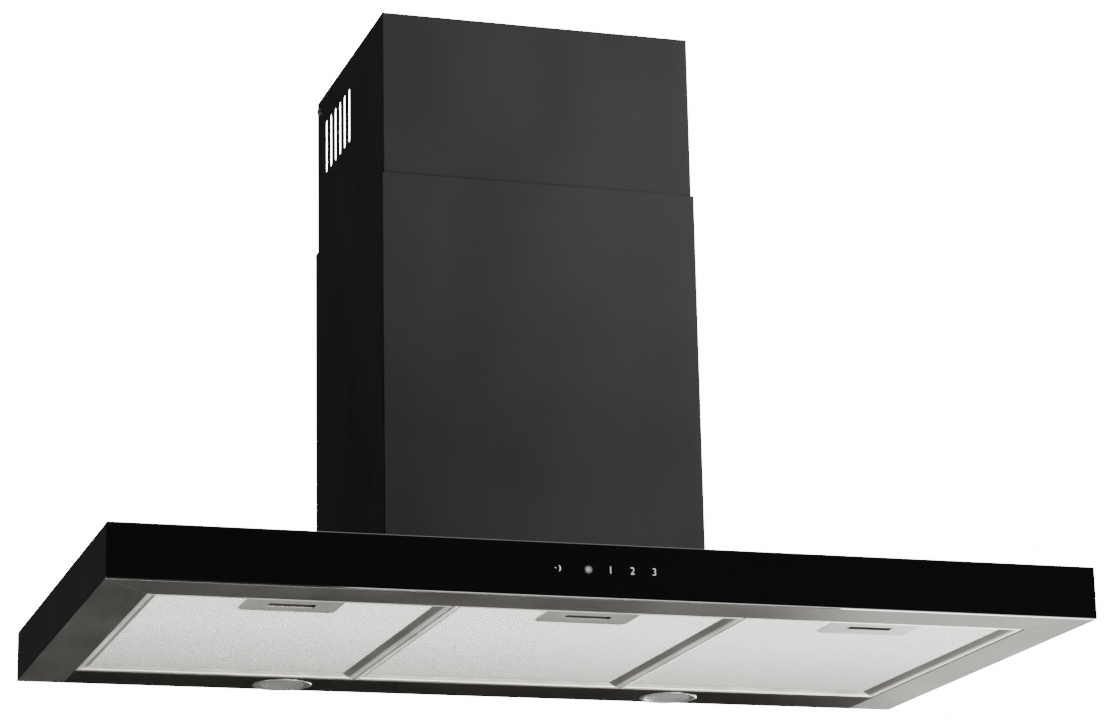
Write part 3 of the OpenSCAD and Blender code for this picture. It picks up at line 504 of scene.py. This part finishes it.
# The corners are cut apart along their mitres, and each strip gets its own ends.
pick(bars, "EDGE", lambda e, m: heading(e).x < 0.99 and heading(e).y < 0.99)
bpy.ops.mesh.edge_split(type="EDGE")
bpy.ops.mesh.select_all(action="SELECT")
bpy.ops.mesh.fill_holes(sides=0)
bpy.ops.mesh.normals_make_consistent(inside=False)
close_edit()
round_edges(bars, 0.0005, 3)
hooks = []
for way in (-1, 1):
    x = filter_middle.x + way * ((frame_high.x - frame_low.x) / 2 - hook_from_side)
    hook = add_box("hook", (x - hook_half, frame_high.y - frame_sheet, hook_low),
                   (x + hook_half, hook_tip, hook_low + hook_sheet))
    edit(hook)
    pick(hook, "EDGE", lambda e, m: heading(e).z > 0.99 and m.y > frame_high.y)
    bpy.ops.mesh.bevel(offset=0.002, segments=3, affect="EDGES")
    close_edit()
    round_edges(hook, 0.0002)
    hooks.append(hook)


def join(first, *others):
    """Joins pieces into the first one."""
    bpy.ops.object.select_all(action="DESELECT")
    for piece in (first, *others):
        piece.select_set(True)
    bpy.context.view_layer.objects.active = first
    bpy.ops.object.join()
    return first


def for_each_filter(piece, part, finish, slot, *stands_for):
    """Fixes the left filter's piece, and copies it to the other two with meshes of their own."""
    for count, side in enumerate(sides):
        one = piece
        if count:
            one = bpy.data.objects.new(side + part, piece.data.copy())
            bpy.context.scene.collection.objects.link(one)
            one.data.transform(Matrix.Translation((count * filter_pitch, 0, 0)))
        one.name = side + part
        fix(one, finish, side + "_filter", slot, *[side + node for node in stands_for])


join(bars, *hooks)
for_each_filter(bars, "_frame_strips", frame_aluminium, "filter_aluminium", "_filter_frame")

# ---- Filter mesh ----
# Layers of expanded aluminium: a slit sheet is pulled into diamonds, whose strands stand on edge
# and catch the light. A crimped layer lies between the lower and the upper one. The real diamonds
# are about 2 by 4 mm, and these are drawn larger so that they show.
diamond_x = 0.0034
diamond_y = 0.0068
strand = 0.0009
layer_t = 0.0009
tuck = 0.0006
latch_low, latch_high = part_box("left_latch_slider")
pocket_room = 0.0015
pocket_x = (latch_low.x - pocket_room, latch_high.x + pocket_room)
pocket_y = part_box("left_latch_plate")[1].y + 0.0004

# Expanded aluminium: bare and bright, slightly rough from slitting, with a faint uneven film. Its
# colour is darkened towards the rear as painted shade, near the rear frame.
mesh_aluminium, tree, surface = new_finish("expanded_aluminium", {
    "Metallic": 0.25})
film = add(tree, "ShaderNodeTexNoise", {"Vector": steps(tree, 25, 60, 25), "Scale": 1.0, "Detail": 3.0})
place = tree.nodes.new("ShaderNodeSeparateXYZ")
fill_in(tree, place, {"Vector": tree.nodes.new("ShaderNodeTexCoord").outputs["Object"]})
# Painted shade: the mesh's colour is darkened towards the rear.
rear = add(tree, "ShaderNodeMapRange", {
    "Value": place.outputs["Y"], "From Min": -0.3, "From Max": -0.07, "To Min": 0.0, "To Max": 0.75})
unshaded_mesh = add(tree, "ShaderNodeMix", {
    "Factor": film, "A": srgb("#e9e7e2"), "B": srgb("#f6f5f2")}, data_type="RGBA")
burr = add(tree, "ShaderNodeTexNoise", {"Vector": steps(tree, 0.8, 0.8, 0.8), "Scale": 1.0, "Detail": 2.0})
fill_in(tree, surface, {
    "Base Color": add(tree, "ShaderNodeMix", {
        "Factor": rear, "A": unshaded_mesh, "B": srgb("#a9a7a1")}, data_type="RGBA"),
    "Roughness": add(tree, "ShaderNodeMapRange", {
        "Value": burr, "From Min": 0.3, "From Max": 0.7, "To Min": 0.42, "To Max": 0.6})})


def in_pocket(middle):
    return pocket_x[0] < middle.x < pocket_x[1] and middle.y < pocket_y


def expanded_sheet(name, base, pocket):
    """Adds a sheet of diamonds inside the frame, from a height upwards, with or without a pocket."""
    low = Vector((frame_low.x + lip_side - tuck, frame_low.y + lip_end - tuck, base))
    high = Vector((frame_high.x - lip_side + tuck, frame_high.y - lip_end + tuck, base))
    across = round((high.x - low.x) / diamond_x)
    down = round((high.y - low.y) / diamond_y)
    bpy.ops.object.select_all(action="DESELECT")
    bpy.ops.mesh.primitive_grid_add(x_subdivisions=across, y_subdivisions=down, size=1, location=(low + high) / 2)
    net = bpy.context.object
    net.name = name
    net.scale = (high.x - low.x, high.y - low.y, 1)
    bpy.ops.object.transform_apply(location=True, rotation=True, scale=True)
    edit(net)
    bpy.ops.mesh.select_all(action="SELECT")
    bpy.ops.mesh.flip_normals()
    bpy.ops.mesh.poke()
    pick(net, "EDGE", lambda e, m: not e.is_boundary and max(heading(e)) > 0.9999)
    bpy.ops.mesh.dissolve_edges(use_verts=False, use_face_split=False)
    if pocket:
        pick(net, "FACE", lambda f, m: in_pocket(m))
        bpy.ops.mesh.delete(type="FACE")
    bpy.ops.mesh.select_mode(type="FACE")
    bpy.ops.mesh.select_all(action="SELECT")
    bpy.ops.mesh.inset(thickness=strand / 2, depth=-layer_t / 2, use_individual=True, use_boundary=True)
    bpy.ops.mesh.delete(type="FACE")
    # The back of the strands is their front turned over, joined along the holes' edges.
    bpy.ops.mesh.select_all(action="SELECT")
    bpy.ops.mesh.duplicate()
    bpy.ops.transform.resize(value=(1, 1, -1), center_override=(0, 0, base + layer_t / 2))
    bpy.ops.mesh.select_all(action="SELECT")
    bpy.ops.mesh.remove_doubles(threshold=2e-6)
    pick(net, "EDGE", lambda e, m: e.is_boundary)
    bpy.ops.mesh.bridge_edge_loops()
    bpy.ops.mesh.select_all(action="SELECT")
    bpy.ops.mesh.normals_make_consistent(inside=False)
    close_edit()
    return net


lower_net = expanded_sheet("left_lower_net", sheets_low.z, True)
upper_net = expanded_sheet("left_upper_net", sheets_high.z - layer_t, False)
for_each_filter(lower_net, "_lower_net", mesh_aluminium, "mesh_aluminium", "_filter_mesh")
for_each_filter(upper_net, "_upper_net", mesh_aluminium, "mesh_aluminium")

# The crimped layer: a fine mesh pressed into low waves, which closes the view through the filter.
# Its own weave is far finer than the waves and shows as grain.
wave_length = 0.007
wave_height = 0.0012
crimp_t = 0.0003
crimped_aluminium, tree, surface = new_finish("crimped_aluminium_mesh", {
    "Metallic": 0.25, "Roughness": 0.6})
weave = add(tree, "ShaderNodeTexVoronoi", {"Vector": steps(tree, 0.9, 0.9, 0.9), "Scale": 1.0})
fill_in(tree, surface, {
    "Base Color": add(tree, "ShaderNodeMix", {
        "Factor": weave, "A": srgb("#dcdad5"), "B": srgb("#8f8d88")}, data_type="RGBA"),
    "Normal": add(tree, "ShaderNodeBump", {"Height": weave, "Strength": 0.4, "Distance": 0.0003})})
crimp_z = (sheets_low.z + sheets_high.z) / 2
crimp_low = Vector((frame_low.x + lip_side - tuck, frame_low.y + lip_end - tuck, crimp_z))
crimp_high = Vector((frame_high.x - lip_side + tuck, frame_high.y - lip_end + tuck, crimp_z))
rows = 2 * round((crimp_high.y - crimp_low.y) / wave_length)
columns = 60
bpy.ops.object.select_all(action="DESELECT")
bpy.ops.mesh.primitive_grid_add(x_subdivisions=columns, y_subdivisions=rows, size=1,
                                location=(crimp_low + crimp_high) / 2)
crimp = bpy.context.object
crimp.scale = (crimp_high.x - crimp_low.x, crimp_high.y - crimp_low.y, 1)
bpy.ops.object.transform_apply(location=True, rotation=True, scale=True)
row_depth = (crimp_high.y - crimp_low.y) / rows
edit(crimp)
pick(crimp, "EDGE", lambda e, m: heading(e).x > 0.9 and round((m.y - crimp_low.y) / row_depth) % 2 == 1)
bpy.ops.transform.translate(value=(0, 0, wave_height))
pick(crimp, "FACE", lambda f, m: in_pocket(m))
bpy.ops.mesh.delete(type="FACE")
close_edit()
wall = crimp.modifiers.new("wall", "SOLIDIFY")
wall.thickness = crimp_t
wall.offset = 0
bpy.ops.object.modifier_apply(modifier=wall.name)
for_each_filter(crimp, "_crimped_layer", crimped_aluminium, "mesh_aluminium")

# ---- Filter latches ----
# A plate of satin steel at each filter's front has a finger slot with rounded edges. Behind it a
# slide with a cup for the fingertip is pushed forwards by a small coil spring.
latch_steel = satin_steel("satin_steel_latch_plate", "#cfcdc9", 0.4, True)
plate_low, plate_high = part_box("left_latch_plate")
plate_t = frame_sheet
plate_chamfer = 0.004
finger_box = next(o for o in frame["record"]["physics"]["openings"] if o["name"] == "left_finger_slot")
finger_room = Vector((0.0015, 0.0006, 0.01))
finger_low = Vector(finger_box["box_m"][0]) - finger_room
finger_high = Vector(finger_box["box_m"][1]) + finger_room
finger_corner = 0.002

plate = add_box("left_plate", plate_low, (plate_high.x, plate_high.y, plate_low.z + plate_t))
edit(plate)
pick(plate, "EDGE", lambda e, m: heading(e).z > 0.99 and m.y > plate_high.y - 1e-5)
bpy.ops.mesh.bevel(offset=plate_chamfer, segments=1, affect="EDGES")
close_edit()
punch = add_box("punch", finger_low, finger_high)
edit(punch)
pick(punch, "EDGE", lambda e, m: heading(e).z > 0.99)
bpy.ops.mesh.bevel(offset=finger_corner, segments=6, affect="EDGES")
close_edit()
cut = plate.modifiers.new("slot", "BOOLEAN")
cut.object = punch
bpy.context.view_layer.objects.active = plate
bpy.ops.object.modifier_apply(modifier=cut.name)
bpy.data.objects.remove(punch)
round_edges(plate, 0.00025, 2)
seat = add_box("seat", (-0.008 + filter_middle.x, plate_high.y - plate_t, plate_low.z + plate_t / 2),
               (0.008 + filter_middle.x, plate_high.y, plate_high.z))
edit(seat)
pick(seat, "EDGE", lambda e, m: heading(e).y > 0.99 and m.z > plate_high.z - 1e-5)
bpy.ops.mesh.bevel(offset=0.001, segments=3, affect="EDGES")
close_edit()
join(plate, seat)
for_each_filter(plate, "_slotted_plate", latch_steel, "latch_steel", "_latch_plate")

spring_wire, tree, surface = new_finish("hard_drawn_spring_wire", {
    "Base Color": srgb("#a8a8a6"), "Metallic": 1.0, "Roughness": 0.25})
drawn = add(tree, "ShaderNodeTexNoise", {"Vector": steps(tree, 0.4, 0.4, 0.4), "Scale": 1.0})
fill_in(tree, surface, {"Roughness": add(tree, "ShaderNodeMapRange", {
    "Value": drawn, "From Min": 0.3, "From Max": 0.7, "To Min": 0.2, "To Max": 0.35})})
# The slide's steel is painted darker than the plate's steel, as painted shade in the finger slot.
slide_steel_painted_shade = satin_steel("satin_steel_slide_painted_shade", "#5f5d5a", 0.45, True)
for side in sides:
    slide = merged_copy(side + "_latch_slider", side + "_finger_slide")
    round_edges(slide, 0.0002)
    fix(slide, slide_steel_painted_shade, side + "_latch", "latch_steel", side + "_latch_slider")
    dress(spring_wire, side + "_latch_spring")

# ---- Lamps ----
# Two recessed LED lamps. Each has a turned steel ring with a sloped face around a frosted lens, a
# white LED board above it, and two spring clips that hold it up in the panel.


def turned(name, centre, profile, segments=96):
    """Turns a closed profile of radii and heights about the upright axis through a centre."""
    bpy.ops.object.select_all(action="DESELECT")
    radius, height = profile[0]
    bpy.ops.mesh.primitive_circle_add(vertices=segments, radius=radius, location=(0, 0, height))
    piece = bpy.context.object
    piece.name = name
    bpy.ops.object.transform_apply(location=True, rotation=True, scale=True)
    edit(piece)
    bpy.ops.mesh.select_all(action="SELECT")
    for next_radius, next_height in profile[1:]:
        bpy.ops.mesh.extrude_edges_move(TRANSFORM_OT_translate={"value": (0, 0, next_height - height)})
        ratio = next_radius / radius
        bpy.ops.transform.resize(value=(ratio, ratio, 1), center_override=(0, 0, next_height))
        radius, height = next_radius, next_height
    pick(piece, "EDGE", lambda e, m: e.is_boundary)
    bpy.ops.mesh.bridge_edge_loops()
    bpy.ops.mesh.select_all(action="SELECT")
    bpy.ops.mesh.normals_make_consistent(inside=False)
    close_edit()
    piece.data.transform(Matrix.Translation(centre))
    return piece


# Turned stainless steel: fine rings from the lathe around a satin face, drawn at 0.5 mm.
ring_steel, tree, surface = new_finish("turned_satin_steel_ring", {
    "Base Color": srgb("#a8a6a2"), "Metallic": 1.0})
haze = add(tree, "ShaderNodeTexNoise", {"Vector": steps(tree, 4, 4, 4), "Scale": 1.0, "Detail": 2.0})
fill_in(tree, surface, {"Roughness": add(tree, "ShaderNodeMapRange", {
    "Value": haze, "From Min": 0.3, "From Max": 0.7, "To Min": 0.24, "To Max": 0.38})})

# Frosted polycarbonate: milky white with a soft skin. The lamps are off, so it only reflects.
lens_plastic, tree, surface = new_finish("frosted_polycarbonate_lens", {
    "Roughness": 0.55, "IOR": 1.58})
frost = add(tree, "ShaderNodeTexNoise", {"Vector": steps(tree, 0.7, 0.7, 0.7), "Scale": 1.0, "Detail": 3.0})
fill_in(tree, surface, {
    "Base Color": add(tree, "ShaderNodeMix", {
        "Factor": frost, "A": srgb("#4a4a48"), "B": srgb("#565654")}, data_type="RGBA"),
    "Normal": add(tree, "ShaderNodeBump", {"Height": frost, "Strength": 0.3, "Distance": 0.0002})})

# LED board: white solder resist, with yellow phosphor on the diodes that stand below it.
led_resist, tree, surface = new_finish("white_solder_resist", {"Roughness": 0.45, "IOR": 1.5})
place = tree.nodes.new("ShaderNodeTexCoord").outputs["Object"]
parts_of_place = tree.nodes.new("ShaderNodeSeparateXYZ")
fill_in(tree, parts_of_place, {"Vector": place})
diode_h = 0.0008
on_diode = add(tree, "ShaderNodeMath", {
    "Value": parts_of_place.outputs["Z"], "Value_001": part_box("left_led_board")[0].z + diode_h / 2},
    operation="LESS_THAN")
fill_in(tree, surface, {"Base Color": add(tree, "ShaderNodeMix", {
    "Factor": on_diode, "A": srgb("#ecebe4"), "B": srgb("#e2c04a")}, data_type="RGBA")})

clip_steel = satin_steel("spring_clip_steel", "#a9a8a4", 0.3, True)
ring_wall = 0.0012
for side in ("left", "right"):
    ring_low, ring_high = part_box(side + "_lamp_bezel")
    lens_low, lens_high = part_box(side + "_lamp_lens")
    centre = Vector(((ring_low.x + ring_high.x) / 2, (ring_low.y + ring_high.y) / 2, 0))
    outer = (ring_high.x - ring_low.x) / 2
    glazed = (lens_high.x - lens_low.x) / 2
    seen_lens = glazed - 0.001
    barrel = outer - 0.0034
    rim_low = ring_low.z
    ring = turned(side + "_lamp_ring", centre, [
        (outer, 0), (outer, rim_low * 0.4), (outer - 0.0004, rim_low * 0.75), (outer - 0.0012, rim_low * 0.97),
        (outer - 0.0022, rim_low), (outer - 0.0034, rim_low), (outer - 0.0042, rim_low * 0.9),
        (seen_lens + 0.0006, rim_low * 0.5), (seen_lens, lens_low.z), (glazed + 0.0003, lens_low.z),
        (glazed + 0.0003, 0.001), (barrel - ring_wall, 0.001), (barrel - ring_wall, ring_high.z - 0.0003),
        (barrel - ring_wall / 2, ring_high.z), (barrel, ring_high.z - 0.0003), (barrel, 0)])
    fix(ring, ring_steel, "hood_body", "lamp_ring_steel", side + "_lamp_bezel")
    bpy.ops.object.select_all(action="DESELECT")
    bpy.ops.mesh.primitive_cylinder_add(
        vertices=96, radius=glazed, depth=lens_high.z - lens_low.z,
        location=(centre.x, centre.y, (lens_low.z + lens_high.z) / 2))
    lens = bpy.context.object
    lens.name = side + "_lamp_diffuser"
    bpy.ops.object.transform_apply(location=True, rotation=True, scale=True)
    edit(lens)
    pick(lens, "FACE", lambda f, m: f.normal.z < -0.9)
    # The lens has two low moulded steps around a flat middle.
    bpy.ops.mesh.inset(thickness=0.004, depth=0)
    bpy.ops.mesh.inset(thickness=0.0006, depth=-0.0004)
    bpy.ops.mesh.inset(thickness=0.003, depth=0)
    bpy.ops.mesh.inset(thickness=0.0006, depth=-0.0004)
    close_edit()
    fix(lens, lens_plastic, "hood_body", "lamp_lens", side + "_lamp_lens")
    dress(led_resist, side + "_led_board")
clips = merged_copy("lamp_spring_clips", "lamp_clips")
round_edges(clips, 0.0003)
fix(clips, clip_steel, "hood_body", "latch_steel", "lamp_spring_clips")

# ---- Chimney covers ----
# Two folded covers of 1 mm powder-coated steel, one sliding inside the other. The upper one has six
# air slots in each side, and a zinc-plated screw in each side holds it to the ceiling bracket.
cover_fold = 0.0010
for node, body in (("chimney_lower", "hood_body"), ("chimney_upper", "upper_cover")):
    cover_low, cover_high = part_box(node)
    cover = merged_copy(node, node + "_cover")
    edit(cover)
    pick(cover, "EDGE", lambda e, m: heading(e).z > 0.99 and abs(m.x) > cover_high.x - 1e-5
         and (m.y < cover_low.y + 1e-5 or m.y > cover_high.y - 1e-5))
    bpy.ops.mesh.bevel(offset=cover_fold, segments=4, affect="EDGES")
    close_edit()
    round_edges(cover, 0.00015)
    fix(cover, powder_coat, body, "black_coated_steel", node)

# Zinc plating: a bright grey skin over the screw's turned steel.
zinc, tree, surface = new_finish("zinc_plated_screw", {
    "Base Color": srgb("#cfcfcc"), "Metallic": 1.0, "Roughness": 0.3})
plating = add(tree, "ShaderNodeTexNoise", {"Vector": steps(tree, 1.2, 1.2, 1.2), "Scale": 1.0})
fill_in(tree, surface, {"Roughness": add(tree, "ShaderNodeMapRange", {
    "Value": plating, "From Min": 0.3, "From Max": 0.7, "To Min": 0.22, "To Max": 0.4})})
dress(zinc, "upper_cover_screws", "blower_box_screws")

# ---- Blower box, brackets and feet ----
# The blower sits in a box of galvanised sheet on the canopy's top, screwed down along its flange.
# The box hangs on the wall by two holes, and the ceiling bracket holds the upper cover.

# Hot-dip galvanised sheet: zinc crystals from 5 to 12 mm, each a slightly different grey and gloss.
galvanised, tree, surface = new_finish("galvanised_sheet", {"Metallic": 1.0})
crystals = steps(tree, 8, 8, 8)
bent = add(tree, "ShaderNodeTexNoise", {"Vector": crystals, "Scale": 0.7})
wobble = add(tree, "ShaderNodeVectorMath", {"Vector": crystals, "Vector_001": bent}, operation="ADD")
spangle = tree.nodes.new("ShaderNodeTexVoronoi")
spangle.feature = "F1"
fill_in(tree, spangle, {"Vector": wobble, "Scale": 1.0})
shade = add(tree, "ShaderNodeSeparateColor", {"Color": spangle.outputs["Color"]})
fill_in(tree, surface, {
    "Base Color": add(tree, "ShaderNodeMix", {
        "Factor": shade, "A": srgb("#7d8082"), "B": srgb("#a5a7a9")}, data_type="RGBA"),
    "Roughness": add(tree, "ShaderNodeMapRange", {
        "Value": shade, "From Min": 0.0, "From Max": 1.0, "To Min": 0.28, "To Max": 0.5})})

for node, body in (("blower_box", "hood_body"), ("cover_feet", "hood_body"), ("motor_bracket", "hood_body"),
                   ("ceiling_bracket", "upper_cover")):
    sheet_part = merged_copy(node, node + "_sheet")
    round_edges(sheet_part, 0.0003)
    fix(sheet_part, galvanised, body, "galvanised_steel", node)

# ---- Scroll, fan wheel and motor ----
# The scroll is two moulded halves that close around a double-inlet fan wheel. The motor hangs in
# the left inlet on three arms, and its shaft carries the wheel.

# Glass-filled black plastic: moulded with a fine spark-eroded grain, about 0.4 mm and drawn at 1 mm.
moulded_black, tree, surface = new_finish("moulded_black_abs", {
    "Base Color": srgb("#2b2c2e"), "Roughness": 0.5, "IOR": 1.53})
eroded = add(tree, "ShaderNodeTexNoise", {"Vector": steps(tree, 1, 1, 1), "Scale": 1.0, "Detail": 3.0})
fill_in(tree, surface, {
    "Roughness": add(tree, "ShaderNodeMapRange", {
        "Value": eroded, "From Min": 0.3, "From Max": 0.7, "To Min": 0.42, "To Max": 0.6}),
    "Normal": add(tree, "ShaderNodeBump", {"Height": eroded, "Strength": 0.3, "Distance": 0.0002})})
for node, radius in (("scroll_left", 0.0005), ("scroll_right", 0.0005), ("outlet_collar", 0.0004)):
    moulding = merged_copy(node, node + "_moulding")
    round_edges(moulding, radius)
    fix(moulding, moulded_black, "hood_body", "black_abs", node)
dress(moulded_black, "inlet_ring_left", "inlet_ring_right", "impeller", "flap_front", "flap_rear", "cable_gland")

# Turned motor steel: a grey can with fine rings around its axis, which lies along X.
motor_steel, tree, surface = new_finish("turned_motor_steel", {
    "Base Color": srgb("#8b8d8f"), "Metallic": 1.0, "Roughness": 0.35})
rings = add(tree, "ShaderNodeTexNoise", {"Vector": steps(tree, 0.6, 40, 40), "Scale": 1.0, "Detail": 2.0})
fill_in(tree, surface, {
    "Roughness": add(tree, "ShaderNodeMapRange", {
        "Value": rings, "From Min": 0.3, "From Max": 0.7, "To Min": 0.28, "To Max": 0.45}),
    "Normal": add(tree, "ShaderNodeBump", {"Height": rings, "Strength": 0.2, "Distance": 0.0001})})
dress(motor_steel, "motor_can")

# Ground steel: bright, with faint lengthwise marks.
ground_steel, tree, surface = new_finish("ground_steel_shaft", {
    "Base Color": srgb("#c9cacc"), "Metallic": 1.0, "Roughness": 0.2})
marks_left = add(tree, "ShaderNodeTexNoise", {"Vector": steps(tree, 20, 0.5, 0.5), "Scale": 1.0})
fill_in(tree, surface, {"Roughness": add(tree, "ShaderNodeMapRange", {
    "Value": marks_left, "From Min": 0.3, "From Max": 0.7, "To Min": 0.15, "To Max": 0.3})})
dress(ground_steel, "motor_shaft", "flap_pin")

# Capacitor can: smooth white plastic with a slight gloss.
can_plastic, tree, surface = new_finish("white_polypropylene_can", {"Roughness": 0.3, "IOR": 1.49})
dusting = add(tree, "ShaderNodeTexNoise", {"Vector": steps(tree, 14, 14, 14), "Scale": 1.0, "Detail": 4.0})
fill_in(tree, surface, {"Base Color": add(tree, "ShaderNodeMix", {
    "Factor": dusting, "A": srgb("#d6d5cf"), "B": srgb("#e6e5e0")}, data_type="RGBA")})
dress(can_plastic, "capacitor")

# ---- Electrical parts in the canopy ----
# A touch board behind the glass, held by a white tray, and a power box and a lamp driver that hang
# from the canopy's top.

# Moulded white ABS: a flat white with a faint grain, slightly warm.
moulded_white, tree, surface = new_finish("moulded_white_abs", {"Roughness": 0.5, "IOR": 1.53})
grain = add(tree, "ShaderNodeTexNoise", {"Vector": steps(tree, 1, 1, 1), "Scale": 1.0, "Detail": 3.0})
fill_in(tree, surface, {
    "Base Color": add(tree, "ShaderNodeMix", {
        "Factor": grain, "A": srgb("#d3d2cc"), "B": srgb("#dfded9")}, data_type="RGBA"),
    "Normal": add(tree, "ShaderNodeBump", {"Height": grain, "Strength": 0.2, "Distance": 0.0002})})
for node in ("power_box", "power_box_lid", "led_driver", "touch_carrier"):
    case = merged_copy(node, node + "_case")
    round_edges(case, 0.0006)
    fix(case, moulded_white, "hood_body", "white_abs", node)

# Circuit board: green solder resist over copper, whose tracks show as slightly lighter lines.
solder_resist, tree, surface = new_finish("green_solder_resist", {"Roughness": 0.35, "IOR": 1.5})
tracks = tree.nodes.new("ShaderNodeTexBrick")
fill_in(tree, tracks, {
    "Vector": steps(tree, 4, 4, 4), "Color1": srgb("#1a4f2c"), "Color2": srgb("#1d5631"),
    "Mortar": srgb("#3f8a55"), "Scale": 1.0, "Mortar Size": 0.06})
fill_in(tree, surface, {"Base Color": tracks.outputs["Color"]})
dress(solder_resist, "touch_board")

# Foam tape and silicone pads: matt and slightly uneven.
foam, tree, surface = new_finish("foam_tape", {"Roughness": 0.95})
cells = add(tree, "ShaderNodeTexVoronoi", {"Vector": steps(tree, 0.6, 0.6, 0.6), "Scale": 1.0})
fill_in(tree, surface, {"Base Color": add(tree, "ShaderNodeMix", {
    "Factor": cells, "A": srgb("#3a3a3a"), "B": srgb("#252525")}, data_type="RGBA")})
dress(foam, "glass_tape")
silicone, tree, surface = new_finish("white_silicone", {"Roughness": 0.6, "IOR": 1.43})
skin = add(tree, "ShaderNodeTexNoise", {"Vector": steps(tree, 2, 2, 2), "Scale": 1.0})
fill_in(tree, surface, {"Base Color": add(tree, "ShaderNodeMix", {
    "Factor": skin, "A": srgb("#c9c9c4"), "B": srgb("#dcdcd7")}, data_type="RGBA")})
dress(silicone, "touch_pads")
